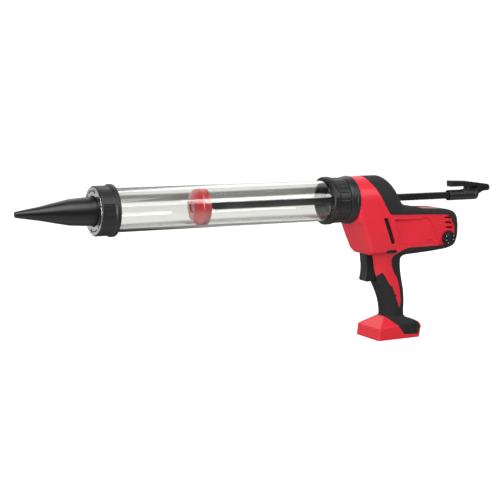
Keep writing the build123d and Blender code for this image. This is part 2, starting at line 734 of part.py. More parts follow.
def rod_bush(start_x, length):
    """Plastic guide block with a square hole for the rod."""
    with BuildPart() as bush:
        with BuildSketch(Plane.YZ.offset(start_x)):
            with Locations((0, (ROD_BOTTOM_Z + ROD_TOP_Z) / 2)):
                RectangleRounded(BUSH_WIDTH, BUSH_HEIGHT, 2.0)
                Rectangle(ROD_WIDTH + 0.16, ROD_TOP_Z - ROD_BOTTOM_Z + 0.16, mode=Mode.SUBTRACT)
        extrude(amount=length)
    return bush.part


with BuildPart() as rear_bush:
    add(rod_bush(4.9, 6.0))

with BuildPart() as front_bush:
    add(rod_bush(63.0, 4.6))

# ---------------------------------------------------------------- trigger, switch and lock
TRIGGER_HALF_WIDTH = 9.0
SWITCH_WIDTH = 18.0

with BuildPart() as trigger:
    with BuildSketch(across(TRIGGER_HALF_WIDTH)) as trigger_side:
        with BuildLine():
            Polyline((49.0, 121.5), (27.5, 121.5), (27.5, 89.0), (38.0, 85.5), (49.5, 86.0))
            ThreePointArc((49.5, 86.0), (47.0, 104.0), (49.0, 121.5))
        make_face()
    extrude(amount=2 * TRIGGER_HALF_WIDTH)
    fillet(trigger.edges().filter_by(Axis.Z, reverse=True).group_by(Axis.X)[-1], 2.0)
    with BuildSketch(Plane.YZ.offset(20.5)):
        with Locations((0, 106.0)):
            Circle(2.5)
    extrude(amount=8.0)

with BuildPart() as trigger_spring:
    with BuildSketch(Plane.YZ.offset(17.2)):
        with Locations((0, 106.0)):
            Circle(4.4)
            Circle(3.3, mode=Mode.SUBTRACT)
    extrude(amount=10.0)

with BuildPart() as switch_body:
    with BuildSketch(Plane.XY.offset(94.0)):
        with Locations((4.5, 0)):
            RectangleRounded(25.0, SWITCH_WIDTH, 3.0)
    extrude(amount=24.0)
    with BuildSketch(Plane.YZ.offset(8.0)):
        with Locations((0, 106.0)):
            Circle(2.9)
    extrude(amount=12.0, mode=Mode.SUBTRACT)

with BuildPart() as lock_button:
    with BuildSketch(across(28.5)):
        with Locations((17.0, 129.2)):
            RectangleRounded(17.0, 4.6, 1.6)
    extrude(amount=57.0)

# ---------------------------------------------------------------- speed dial
with BuildPart() as dial_knob:
    with BuildSketch(across(35.5)):
        with Locations((DIAL_X, DIAL_Z)):
            Circle(DIAL_R)
            with PolarLocations(DIAL_R + 0.5, 12):
                Circle(1.5, mode=Mode.SUBTRACT)
    extrude(amount=5.5)
    with BuildSketch(across(37.5)):
        with Locations((DIAL_X, DIAL_Z)):
            SlotOverall(15.0, 4.5, rotation=60.0)
    extrude(amount=2.2)
    with BuildSketch(across(30.2)):
        with Locations((DIAL_X, DIAL_Z)):
            Circle(2.6)
    extrude(amount=6.0)

with BuildPart() as speed_pot:
    with BuildSketch(across(25.6)):
        with Locations((DIAL_X, DIAL_Z)):
            Circle(6.5)
            Circle(2.65, mode=Mode.SUBTRACT)
    extrude(amount=5.0)

with BuildPart() as control_board:
    with BuildSketch(across(20.5)):
        with Locations((-82.5, 153.0)):
            Rectangle(20.0, 28.0)
    extrude(amount=1.6)
    with BuildSketch(across(18.9)):
        with Locations((-87.5, 160.0), (-78.0, 163.0)):
            Rectangle(7.0, 5.0)
    extrude(amount=1.4)

# ---------------------------------------------------------------- battery terminals
with BuildPart() as terminal_block:
    with BuildSketch(Plane.XY.offset(CHANNEL_ROOF_Z - 1.0)):
        with Locations((16.0, 0)):
            RectangleRounded(22.0, 30.0, 1.5)
    extrude(amount=9.0)

BLADE_YS = (-10.0, 0.0, 10.0)

with BuildPart() as terminal_blades:
    with BuildSketch(Plane.XY.offset(2.5)):
        with Locations(*[(14.0, blade_y) for blade_y in BLADE_YS]):
            Rectangle(12.0, 1.2)
    extrude(amount=CHANNEL_ROOF_Z - 1.0 - 2.5)


def lead(radius, bends, *points):
    """Insulated wire along straight runs joined by arcs."""
    with BuildPart() as wire:
        with BuildLine():
            path = FilletPolyline(*points, radius=bends)
        with BuildSketch(Plane(origin=path @ 0, z_dir=path % 0)):
            Circle(radius)
        sweep()
    return wire.part


with BuildPart() as battery_leads:
    for side in (-1, 1):
        add(
            lead(
                1.0, 2.0, (6.5, 7.0 * side, 19.05), (5.0, 5.6 * side, 25.0), (4.8, 4.5 * side, 42.0),
                (7.5, 5.0 * side, 66.0), (4.0, 5.0 * side, 82.0), (4.0, 5.0 * side, 93.95),
            )
        )

with BuildPart() as motor_leads:
    for side in (-1, 1):
        add(
            lead(
                1.0, 2.4, (-4.0, 5.0 * side, 118.05), (-4.0, 5.0 * side, 125.0), (-12.0, 13.5 * side, 136.5),
                (-30.0, 13.5 * side, 137.3), (-62.0, 13.5 * side, 137.0), (-75.2, 13.5 * side, 138.0),
                (-75.2, 13.5 * side, 145.0), (MOTOR_REAR_X - FIT, 13.5 * side, 145.0),
            )
        )

# ---------------------------------------------------------------- housing shells
# Screws that clamp the two halves: station in X and Z.
SCREW_SITES = [
    (14.0, 219.5), (63.0, 227.0), (63.5, 174.0), (43.0, 134.5), (-22.0, 129.5), (-98.0, 173.5),
    (-97.5, 138.0), (-1.0, 62.0), (14.0, 23.5),
]
SCREW_R = 1.8
BOSS_R = 4.4
HEAD_POCKET_R = 3.6

FORM = body_form(0.0)
CORE = body_form(-WALL, foot_base=CHANNEL_ROOF_Z + WALL)
SKIN_FORM = body_form(-SKIN)
PROUD_FORM = body_form(PROUD)

with BuildPart() as rubber_zone:
    with BuildSketch(Plane.XZ):
        Polygon(*RUBBER_SIDE, align=None)
    extrude(amount=60.0, both=True)
    # A red inlay shows along the top of the tail.
    with BuildSketch(Plane.XY.offset(183.0)):
        with Locations((-58.0, 0)):
            RectangleRounded(46.0, 18.0, 6.0)
    extrude(amount=20.0, mode=Mode.SUBTRACT)

with BuildPart() as shell_recess:
    add(rubber_zone.part)
    add(SKIN_FORM, mode=Mode.SUBTRACT)

# Ribs across the shell that hold the motor, the gearbox and the rod's bushes.
RIB_STATIONS = ((-62.0, 2.4, MOTOR_Z, MOTOR_R), (-30.0, 2.4, MOTOR_Z, MOTOR_R), (-11.0, 2.4, MOTOR_Z, MOTOR_R))

with BuildPart() as inner_ribs:
    for rib_x, rib_width, rib_z, hole_r in RIB_STATIONS:
        with BuildSketch(Plane.YZ.offset(rib_x)):
            with Locations((0, 160.0)):
                Rectangle(70.0, 80.0)
            with Locations((0, rib_z)):
                Circle(hole_r + FIT, mode=Mode.SUBTRACT)
            # The leads pass below the motor.
            with Locations((0, 132.0)):
                Rectangle(32.0, 16.0, mode=Mode.SUBTRACT)
        extrude(amount=rib_width)
    for rib_x in (4.9, 64.0):
        with BuildSketch(Plane.YZ.offset(rib_x)):
            with Locations((0, (ROD_BOTTOM_Z + ROD_TOP_Z) / 2)):
                Rectangle(70.0, 26.0)
                Rectangle(BUSH_WIDTH + 2 * FIT, BUSH_HEIGHT + 2 * FIT, mode=Mode.SUBTRACT)
        extrude(amount=2.2)
    for rib_z in (96.0, 114.0):
        with BuildSketch(Plane.XY.offset(rib_z)):
            Rectangle(90.0, 60.0)
            with Locations((4.5, 0)):
                Rectangle(25.0 + 2 * FIT, SWITCH_WIDTH + 2 * FIT, mode=Mode.SUBTRACT)
            with Locations((37.0, 0)):
                Rectangle(42.0, 2 * TRIGGER_HALF_WIDTH + 2.0, mode=Mode.SUBTRACT)
        extrude(amount=2.0)
    # Pads that press on the gear frame round each axle.
    with BuildSketch(across(-22.1)):
        with Locations((DRIVE_X, OUTPUT_Z), (DRIVE_X, MOTOR_Z)):
            Circle(10.0)
    extrude(amount=20.0)
    with BuildSketch(across(42.1)):
        with Locations((DRIVE_X, OUTPUT_Z), (DRIVE_X, MOTOR_Z)):
            Circle(10.0)
    extrude(amount=20.0)
    # Screw bosses.
    with BuildSketch(Plane.XZ):
        with Locations(*SCREW_SITES):
            Circle(BOSS_R)
    extrude(amount=40.0, both=True)
    add(CORE, mode=Mode.INTERSECT)

with BuildPart() as openings:
    # Front bore behind the bezel, for the swivel flange.
    with BuildSketch(Plane.YZ.offset(69.6)):
        with Locations((0, BARREL_Z)):
            Circle(26.0 + GAP)
    extrude(amount=10.0)
    # Rod passage through the front ribs and out of the hump's rear.
    with BuildSketch(Plane.YZ.offset(-30.0)):
        with Locations((0, (ROD_BOTTOM_Z + ROD_TOP_Z) / 2)):
            Rectangle(ROD_WIDTH + 1.6, ROD_TOP_Z - ROD_BOTTOM_Z + 1.6)
    extrude(amount=110.0)
    # Trigger mouth.
    with BuildSketch(Plane.YZ.offset(19.9)):
        with Locations((0, 103.6)):
            Rectangle(2 * TRIGGER_HALF_WIDTH + 2 * GAP + 0.4, 37.8)
    extrude(amount=40.0)
    # Lock button's slot from side to side.
    with BuildSketch(across(40.0)):
        with Locations((17.0, 129.2)):
            RectangleRounded(17.0 + 2 * GAP, 4.6 + 2 * GAP, 1.6 + GAP)
    extrude(amount=80.0)
    # A slanted exhaust slot through each side wall.
    for slot_y in (40.0, -26.0):
        with BuildSketch(across(slot_y)):
            Polygon((34.5, 178.0), (28.5, 178.0), (14.5, 141.0), (20.5, 141.0), align=None)
        extrude(amount=14.0)
    # Three intake vents on each side, near the fan.
    with BuildSketch(across(50.0)):
        with Locations((-82.0, 174.5), (-83.5, 167.0), (-85.0, 159.8)):
            SlotOverall(12.0, 3.0, rotation=8.0)
    extrude(amount=100.0)
    # Dial recess and its shaft's hole.
    with BuildSketch(across(45.0)):
        with Locations((DIAL_X, DIAL_Z)):
            Circle(DIAL_R + 1.0)
    extrude(amount=45.0 - 29.4)
    with BuildSketch(across(45.0)):
        with Locations((DIAL_X, DIAL_Z)):
            Circle(2.6 + GAP)
    extrude(amount=20.0)
    # Shallow side panels for the name plate area, left blank.
    for plane_y, depth in ((36.0, 36.0 - TAIL_HALF_WIDTH + 0.8), (-TAIL_HALF_WIDTH + 0.8, 6.0)):
        with BuildSketch(across(plane_y)):
            Polygon((11.0, 176.5), (-47.5, 174.5), (-64.0, 141.5), (-3.0, 142.0), align=None)
        extrude(amount=depth)
    # Battery channel, open below and behind, with a rail along each side.
    with BuildSketch(Plane.YZ.offset(-50.0)):
        with Locations((0, CHANNEL_ROOF_Z / 2 - 0.5)):
            Rectangle(CHANNEL_WIDTH, CHANNEL_ROOF_Z + 1.0)
        for side in (-1, 1):
            with Locations((side * (CHANNEL_WIDTH / 2 - 1.4), 5.5)):
                Rectangle(2.8, 2.6, mode=Mode.SUBTRACT)
    extrude(amount=50.0 + CHANNEL_FRONT_X)
    # Well for the terminal block, and the way up the grip for the leads.
    with BuildSketch(Plane.XY.offset(5.0)):
        with Locations((16.0, 0)):
            RectangleRounded(22.0 + 2 * FIT, 30.0 + 2 * FIT, 1.5)
    extrude(amount=14.2)
    # Screw shanks through both halves, heads sunk in the right half.
    with BuildSketch(Plane.XZ):
        with Locations(*SCREW_SITES):
            Circle(SCREW_R + FIT)
    extrude(amount=9.0, both=True)

with BuildPart() as hollow_body:
    add(FORM)
    add(CORE, mode=Mode.SUBTRACT)
    add(inner_ribs.part)
    add(shell_recess.part, mode=Mode.SUBTRACT)
    add(openings.part, mode=Mode.SUBTRACT)


def half_space(side):
    """Block that holds everything on one side of the joint line."""
    with BuildPart() as block:
        with BuildSketch(Plane.XZ.offset(-SPLIT if side > 0 else SPLIT)):
            Rectangle(500.0, 500.0)
        extrude(amount=-60.0 * side)
    return block.part


with BuildPart() as housing_left:
    add(hollow_body.part)
    add(half_space(1), mode=Mode.INTERSECT)

with BuildPart() as housing_right:
    add(hollow_body.part)
    add(half_space(-1), mode=Mode.INTERSECT)
    # Pockets for the screw heads.
    with BuildSketch(Plane.XZ.offset(9.0)):
        with Locations(*SCREW_SITES):
            Circle(HEAD_POCKET_R)
    extrude(amount=40.0, mode=Mode.SUBTRACT)

with BuildPart() as overmould:
    add(PROUD_FORM)
    add(rubber_zone.part, mode=Mode.INTERSECT)
    add(SKIN_FORM, mode=Mode.SUBTRACT)
    add(openings.part, mode=Mode.SUBTRACT)

with BuildPart() as overmould_left:
    add(overmould.part)
    add(half_space(1), mode=Mode.INTERSECT)

with BuildPart() as overmould_right:
    add(overmould.part)
    add(half_space(-1), mode=Mode.INTERSECT)
    with BuildSketch(Plane.XZ.offset(9.0)):
        with Locations(*SCREW_SITES):
            Circle(HEAD_POCKET_R)
    extrude(amount=40.0, mode=Mode.SUBTRACT)

with BuildPart() as housing_screws:
    with BuildSketch(Plane.XZ.offset(-8.8)):
        with Locations(*SCREW_SITES):
            Circle(SCREW_R)
    extrude(amount=18.0)
    with BuildSketch(Plane.XZ.offset(9.1)):
        with Locations(*SCREW_SITES):
            Circle(HEAD_POCKET_R - 0.4)
    extrude(amount=2.4)
    with BuildSketch(Plane.XZ.offset(10.5)):
        with Locations(*SCREW_SITES):
            RegularPolygon(1.7, 6)
    extrude(amount=1.0, mode=Mode.SUBTRACT)

# ---------------------------------------------------------------- files
pieces = {
    "barrel_tube": barrel_tube,
    "swivel_socket": swivel_socket,
    "locking_collar": locking_collar,
    "nozzle": nozzle,
    "front_ring": front_ring,
    "bezel_ring": bezel_ring,
    "rack_rod": rack_rod,
    "piston": piston,
    "piston_hub": piston_hub,
    "piston_screw": piston_screw,
    "hook_handle": hook_handle,
    "handle_pin": handle_pin,
    "rack_pinion": rack_pinion,
    "output_gear": output_gear,
    "output_shaft": output_shaft,
    "cross_pinion": cross_pinion,
    "cross_shaft": cross_shaft,
    "bevel_gear": bevel_gear,
    "bevel_pinion": bevel_pinion,
    "driven_clutch_plate": driven_clutch_plate,
    "sun_gear": sun_gear,
    "planet_gear_1": planet_gears[0],
    "planet_gear_2": planet_gears[1],
    "planet_gear_3": planet_gears[2],
    "planet_carrier": planet_carrier,
    "drive_clutch_plate": drive_clutch_plate,
    "ring_gear": ring_gear,
    "gearbox_cover": gearbox_cover,
    "pinion_bearing": pinion_bearing,
    "output_bearings": output_bearings,
    "cross_bearings": cross_bearings,
    "gear_plate_left": gear_plate_left,
    "gear_plate_right": gear_plate_right,
    "motor_can": motor_can,
    "motor_end_cap": motor_end_cap,
    "motor_magnets": motor_magnets,
    "motor_shaft": motor_shaft,
    "armature": armature,
    "winding_ends": winding_ends,
    "commutator": commutator,
    "cooling_fan": cooling_fan,
    "rear_bush": rear_bush,
    "front_bush": front_bush,
    "trigger": trigger,
    "trigger_spring": trigger_spring,
    "switch_body": switch_body,
    "lock_button": lock_button,
    "dial_knob": dial_knob,
    "speed_pot": speed_pot,
    "control_board": control_board,
    "terminal_block": terminal_block,
    "terminal_blades": terminal_blades,
    "battery_leads": battery_leads,
    "motor_leads": motor_leads,
    "housing_left": housing_left,
    "housing_right": housing_right,
    "overmould_left": overmould_left,
    "overmould_right": overmould_right,
    "housing_screws": housing_screws,
}

for name, piece in pieces.items():
    piece.part.label = name
    export_step(piece.part, f"parts/{name}.step")
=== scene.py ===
import functools
import json
import math

import bmesh
import bpy
import numpy as np
from mathutils import Matrix, Vector


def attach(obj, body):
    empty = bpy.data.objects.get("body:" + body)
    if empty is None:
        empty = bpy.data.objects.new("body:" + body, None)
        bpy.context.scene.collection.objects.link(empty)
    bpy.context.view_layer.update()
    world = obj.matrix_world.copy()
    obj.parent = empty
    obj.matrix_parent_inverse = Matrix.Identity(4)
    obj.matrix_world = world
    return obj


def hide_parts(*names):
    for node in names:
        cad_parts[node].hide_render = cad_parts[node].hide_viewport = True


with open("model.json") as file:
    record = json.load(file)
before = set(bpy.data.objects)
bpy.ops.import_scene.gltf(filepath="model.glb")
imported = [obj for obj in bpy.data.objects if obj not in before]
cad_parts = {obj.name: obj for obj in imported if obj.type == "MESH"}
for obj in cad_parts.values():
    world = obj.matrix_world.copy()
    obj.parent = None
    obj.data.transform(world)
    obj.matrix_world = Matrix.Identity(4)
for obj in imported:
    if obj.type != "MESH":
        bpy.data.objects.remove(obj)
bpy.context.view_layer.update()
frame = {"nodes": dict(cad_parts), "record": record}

# The scene is in metres; outlines below are in millimetres and scaled by MM when meshed.
MM = 0.001
BARREL_Z = 204.0
ROD_Z = 204.05
MOTOR_Z = 156.95
HEAD_R = 33.3
HEAD_FRONT_X = 75.0
TAIL_HALF_WIDTH = 33.0
FOOT_HALF_WIDTH = 29.0
FOOT_WALL_Z = 17.5
ROOF_REAR_Z = 24.0
FOOT_ROOF_Z = 30.5
CHANNEL_HALF_WIDTH = 24.0
CHANNEL_FRONT_X = 29.0
CHANNEL_ROOF_Z = 11.0
DIAL_X = -82.0
DIAL_Z = 144.0
DIAL_R = 10.8
SHELL = 3.0
RUBBER_PROUD = 0.35
SEAM = 0.12
GRID = 0.6


# ------------------------------------------------------------------ shader building blocks
FINISHES = {}


def feed(tree, source, socket):
    """Link a node's output to a socket, or set the socket to a plain value."""
    if isinstance(source, bpy.types.NodeSocket):
        tree.links.new(source, socket)
    else:
        socket.default_value = source


def settings(node, **values):
    """Set a node's inputs; underscores stand for the spaces in their names."""
    for name, value in values.items():
        node.inputs[name.replace("_", " ")].default_value = value


def noise(tree, scale, detail):
    """Noise from 0 to 1, fixed to the object."""
    place = tree.nodes.new("ShaderNodeTexCoord")
    cloud = tree.nodes.new("ShaderNodeTexNoise")
    settings(cloud, Scale=scale, Detail=detail)
    tree.links.new(place.outputs["Object"], cloud.inputs["Vector"])
    return cloud.outputs["Fac"]


def remap(tree, value, low, high, start=0.0, end=1.0):
    """Value from start to end, spread over low to high."""
    node = tree.nodes.new("ShaderNodeMapRange")
    settings(node, From_Min=start, From_Max=end, To_Min=low, To_Max=high)
    tree.links.new(value, node.inputs["Value"])
    return node.outputs["Result"]


def ramp(tree, value, stops):
    """Colour by value, from (position, colour) stops in rising order."""
    node = tree.nodes.new("ShaderNodeValToRGB")
    elements = node.color_ramp.elements
    for index, (position, colour) in enumerate([stops[0], stops[-1]] + stops[1:-1]):
        stop = elements[index] if index < 2 else elements.new(position)
        stop.position = position
        stop.color = colour
    tree.links.new(value, node.inputs["Fac"])
    return node.outputs["Color"]


def mix_colours(tree, factor, first, second, how="MIX"):
    """Mix of two colours; the factor and the colours may be sockets or plain values."""
    node = tree.nodes.new("ShaderNodeMix")
    node.data_type = "RGBA"
    node.blend_type = how
    feed(tree, factor, node.inputs["Factor"])
    feed(tree, first, node.inputs["A"])
    feed(tree, second, node.inputs["B"])
    return node.outputs["Result"]


def new_material(name):
    """Node tree and Principled shader of a new material, which is filed in FINISHES."""
    FINISHES[name] = bpy.data.materials.new(name)
    FINISHES[name].use_nodes = True
    tree = FINISHES[name].node_tree
    return tree, tree.nodes["Principled BSDF"]


def grey(level):
    """Opaque grey."""
    return (level, level, level, 1.0)


def scaled(colour, factor, offset=0.0):
    """Opaque colour, made lighter or darker."""
    return (*[min(1.0, c * factor + offset) for c in colour], 1.0)


# ------------------------------------------------------------------ camera, floor and light
CAMERA_PLACE = Vector((0.99448, 1.38632, 0.36198))
CAMERA_AZIMUTH = math.radians(151.23)
CAMERA_ELEVATION = math.radians(7.95)
CAMERA_ROLL = math.radians(0.51)
CAMERA_LENS = 84.2
AWAY = Vector((-math.sin(CAMERA_AZIMUTH), math.cos(CAMERA_AZIMUTH), 0))
FLOOR_GLOW = 0.9
FLOOR_REACH = 3.3
FLOOR_GAP = 0.0004


def make_camera():
    """Camera at the photographed viewpoint, turned by azimuth, elevation and roll."""
    level = math.cos(CAMERA_ELEVATION)
    back = Vector((
        math.sin(CAMERA_AZIMUTH) * level, -math.cos(CAMERA_AZIMUTH) * level, math.sin(CAMERA_ELEVATION),
    ))
    right = (-back).cross(Vector((0, 0, 1))).normalized()
    up = right.cross(-back)
    c, s = math.cos(CAMERA_ROLL), math.sin(CAMERA_ROLL)
    right, up = c * right + s * up, c * up - s * right
    data = bpy.data.cameras.new("camera")
    data.lens = CAMERA_LENS
    data.sensor_width = 36.0
    camera = bpy.data.objects.new("camera", data)
    turn = Matrix((right, up, back)).transposed().to_4x4()
    camera.matrix_world = Matrix.Translation(CAMERA_PLACE) @ turn
    bpy.context.scene.collection.objects.link(camera)
    bpy.context.scene.camera = camera


def area_light(name, place, target, size, power):
    """White rectangular light aimed at a point."""
    data = bpy.data.lights.new(name, "AREA")
    data.shape = "RECTANGLE"
    data.size, data.size_y = size
    data.energy = power
    lamp = bpy.data.objects.new(name, data)
    lamp.location = place
    lamp.rotation_euler = (Vector(target) - Vector(place)).to_track_quat("-Z", "Y").to_euler()
    bpy.context.scene.collection.objects.link(lamp)


# Brightness of the studio by the height of the direction (-1 straight down, 1 straight up).
ROOM_SHADES = [(-1.0, 0.9), (-0.5, 0.8), (-0.25, 0.2), (0.0, 0.07), (1.0, 0.07)]
BACKDROP_SHADES = [
    (-1.0, 0.25), (-0.46, 0.25), (-0.42, 0.75), (-0.31, 0.75), (-0.28, 0.22), (-0.21, 0.3), (-0.18, 0.85),
    (-0.075, 0.85), (-0.06, 0.2), (-0.005, 0.2), (0.03, 0.85), (1.0, 0.85),
]


def height_ramp(tree, height, shades):
    """Grey level by the height of a direction, which comes in as 0 to 1."""
    return ramp(tree, height, [((upward + 1) / 2, grey(shade)) for upward, shade in shades])


def make_world():
    """White to the eye; in reflections and through the clear tube, a dim room with a bright backdrop."""
    world = bpy.data.worlds.new("studio")
    world.use_nodes = True
    tree = world.node_tree
    direction = tree.nodes.new("ShaderNodeTexCoord").outputs["Generated"]
    split = tree.nodes.new("ShaderNodeSeparateXYZ")
    tree.links.new(direction, split.inputs[0])
    height = remap(tree, split.outputs["Z"], 0.0, 1.0, start=-1.0)
    behind = tree.nodes.new("ShaderNodeVectorMath")
    behind.operation = "DOT_PRODUCT"
    behind.inputs[1].default_value = AWAY
    tree.links.new(direction, behind.inputs[0])
    wall = remap(tree, behind.outputs["Value"], 0.0, 1.0, start=0.1, end=0.4)
    room = height_ramp(tree, height, ROOM_SHADES)
    room = mix_colours(tree, wall, room, height_ramp(tree, height, BACKDROP_SHADES))
    seen = tree.nodes.new("ShaderNodeLightPath").outputs["Is Camera Ray"]
    feed(tree, mix_colours(tree, seen, room, grey(1.0)), tree.nodes["Background"].inputs["Color"])
    bpy.context.scene.world = world


def make_floor():
    """Plain pale floor that ends well behind the tool."""
    mesh = bpy.data.meshes.new("floor")
    shape = bmesh.new()
    side = Vector((-AWAY.y, AWAY.x, 0))
    rows = []
    for distance in np.linspace(-3.0, FLOOR_REACH, 13):
        centre = AWAY * float(distance) + Vector((0, 0, -FLOOR_GAP))
        rows.append([shape.verts.new(centre + side * s) for s in (-5.0, 5.0)])
    for near, far in zip(rows, rows[1:]):
        shape.faces.new((near[0], near[1], far[1], far[0]))
    shape.to_mesh(mesh)
    shape.free()
    mesh.shade_smooth()
    floor = bpy.data.objects.new("floor", mesh)
    bpy.context.scene.collection.objects.link(floor)
    _, shader = new_material("floor_white")
    settings(shader, Base_Color=grey(0.5), Roughness=0.9, Specular_IOR_Level=0.0,
             Emission_Color=grey(1.0), Emission_Strength=FLOOR_GLOW)
    mesh.materials.append(FINISHES["floor_white"])
    floor.visible_diffuse = False
    floor.visible_glossy = False
    floor.visible_transmission = False


make_camera()
make_world()
make_floor()
area_light("key", (0.62, 0.95, 1.5), (0.15, 0.0, 0.18), (1.7, 1.2), 31.0)
area_light("side", (-0.9, 1.5, 1.3), (0.0, 0.0, 0.15), (0.8, 0.8), 13.0)
area_light("back", (-0.2, -1.2, 1.3), (0.1, 0.0, 0.18), (1.5, 0.5), 4.0)
area_light("front", (1.9, 0.7, 0.25), (0.1, 0.0, 0.12), (0.7, 0.7), 23.0)
bpy.context.scene.view_settings.view_transform = "Standard"


# ------------------------------------------------------------------ materials
MOTTLE_SCALE = 14.0
HAZE_SCALE = 30.0
GRAIN_DEPTH = 0.0004
SHARP_EDGE = (0.53, 0.6)
# How much the clear wall's colour is darkened as painted shade, from seen square-on (0) to seen edge-on
# (1).
WALL_EDGE_PAINTED_SHADE = [(0.0, grey(1.0)), (0.88, grey(1.0)), (1.0, grey(0.45))]


def material(name, colour, roughness, tint=0.06, grain=900.0, bump=0.04, wear_and_highlight=0.0, metallic=0.0,
             specular=0.5, coat=0.0, clear=0.0):
    """Moulded or machined surface: mottled colour, uneven roughness, fine grain, and sharp edges
    lightened, partly as wear and partly as a painted highlight.
    """
    tree, shader = new_material(name)
    settings(shader, Metallic=metallic, Specular_IOR_Level=specular, Transmission_Weight=clear,
             Coat_Weight=coat, Coat_Roughness=0.18)
    cloud = noise(tree, MOTTLE_SCALE, 5.0)
    shade = ramp(tree, cloud, [(0.3, scaled(colour, 1 - tint)), (0.7, scaled(colour, 1 + tint))])
    # Sharp edges are lightened in patches: partly wear, partly a painted highlight along the edges.
    if wear_and_highlight > 0:
        edges = tree.nodes.new("ShaderNodeNewGeometry").outputs["Pointiness"]
        patchy = tree.nodes.new("ShaderNodeMath")
        patchy.operation = "MULTIPLY"
        tree.links.new(remap(tree, edges, 0.0, wear_and_highlight, *SHARP_EDGE), patchy.inputs[0])
        tree.links.new(cloud, patchy.inputs[1])
        shade = mix_colours(tree, patchy.outputs[0], shade, scaled(colour, 1.8, 0.1))
    feed(tree, shade, shader.inputs["Base Color"])
    rough = remap(tree, cloud, roughness * 0.85, min(1.0, roughness * 1.15))
    feed(tree, rough, shader.inputs["Roughness"])
    relief = tree.nodes.new("ShaderNodeBump")
    settings(relief, Strength=bump, Distance=GRAIN_DEPTH)
    tree.links.new(noise(tree, grain, 3.0), relief.inputs["Height"])
    tree.links.new(relief.outputs["Normal"], shader.inputs["Normal"])


def clear_material(name, colour, roughness, ior=1.49, haze=0.02):
    """Clear plastic: transmission with a faint tint, darker bands painted as shade near its edges, and
    uneven gloss.
    """
    tree, shader = new_material(name)
    settings(shader, Transmission_Weight=1.0, IOR=ior)
    cloud = noise(tree, HAZE_SCALE, 4.0)
    tinge = ramp(tree, cloud, [(0.0, scaled(colour, 1 - haze)), (1.0, scaled(colour, 1.0))])
    # Painted shade: the wall's colour is darkened where it is seen edge-on, standing in for the tube's
    # dark edge lines.
    facing = tree.nodes.new("ShaderNodeLayerWeight")
    settings(facing, Blend=0.5)
    shade = ramp(tree, facing.outputs["Facing"], WALL_EDGE_PAINTED_SHADE)
    feed(tree, mix_colours(tree, 1.0, tinge, shade, "MULTIPLY"), shader.inputs["Base Color"])
    feed(tree, remap(tree, cloud, roughness * 0.6, roughness * 1.4), shader.inputs["Roughness"])


material("red_shell", (0.68, 0.023, 0.04), 0.36, tint=0.05, bump=0.05, wear_and_highlight=0.35, specular=0.3)
material("rubber", (0.009, 0.0105, 0.0095), 0.78, tint=0.18, bump=0.35, grain=1400.0, wear_and_highlight=0.4,
         specular=0.4)
material("black_plastic", (0.009, 0.0095, 0.01), 0.4, tint=0.15, bump=0.12, wear_and_highlight=0.8, specular=0.4)
material("nozzle_black", (0.002, 0.002, 0.002), 0.36, tint=0.2, bump=0.05, wear_and_highlight=0.1)
clear_material("clear_tube", (0.985, 0.99, 0.96), 0.01)
material("red_clear", (0.42, 0.035, 0.04), 0.16, tint=0.08, bump=0.03, specular=0.9, coat=0.6,
         clear=0.45)
material("red_hub", (0.5, 0.01, 0.015), 0.3)
material("rack_steel", (0.008, 0.008, 0.009), 0.38, tint=0.25, bump=0.1, wear_and_highlight=0.5, metallic=0.2,
         specular=0.2)
material("steel", (0.56, 0.56, 0.57), 0.28, tint=0.08, bump=0.06, metallic=1.0)
material("gear_steel", (0.36, 0.36, 0.37), 0.36, tint=0.12, bump=0.08, metallic=1.0)
material("bronze", (0.56, 0.38, 0.16), 0.4, tint=0.15, bump=0.1, metallic=1.0)
material("die_cast", (0.5, 0.51, 0.52), 0.5, tint=0.1, bump=0.3, metallic=1.0)
material("motor_steel", (0.48, 0.48, 0.47), 0.35, tint=0.1, bump=0.08, metallic=1.0)
material("magnet", (0.06, 0.06, 0.06), 0.6, bump=0.3)
material("copper", (0.62, 0.26, 0.1), 0.34, tint=0.2, bump=0.5, grain=400.0, metallic=1.0)
material("white_plastic", (0.74, 0.73, 0.68), 0.45, bump=0.06)
material("board_green", (0.02, 0.16, 0.06), 0.4, bump=0.1)
material("lead_red", (0.5, 0.02, 0.02), 0.45, bump=0.05)
material("lead_black", (0.02, 0.02, 0.02), 0.45, bump=0.05)
material("satin_black", (0.015, 0.016, 0.016), 0.22, tint=0.2, bump=0.05, specular=1.0, coat=0.5)
material("ring_land", (0.5, 0.5, 0.5), 0.2, tint=0.12, bump=0.15, grain=500.0, metallic=1.0)


def paint(piece, slot):
    """One finish over the whole piece."""
    if piece.data.materials:
        for index in range(len(piece.data.materials)):
            piece.data.materials[index] = FINISHES[slot]
    else:
        piece.data.materials.append(FINISHES[slot])


for part in frame["record"]["subparts"]:
    paint(frame["nodes"][part["node"]], part["material_slot"])


# ------------------------------------------------------------------ solid shapes as distance fields
ARC_STEP = 1.2
ARC_TURN = 0.2
SMALLEST_ARC = 0.05


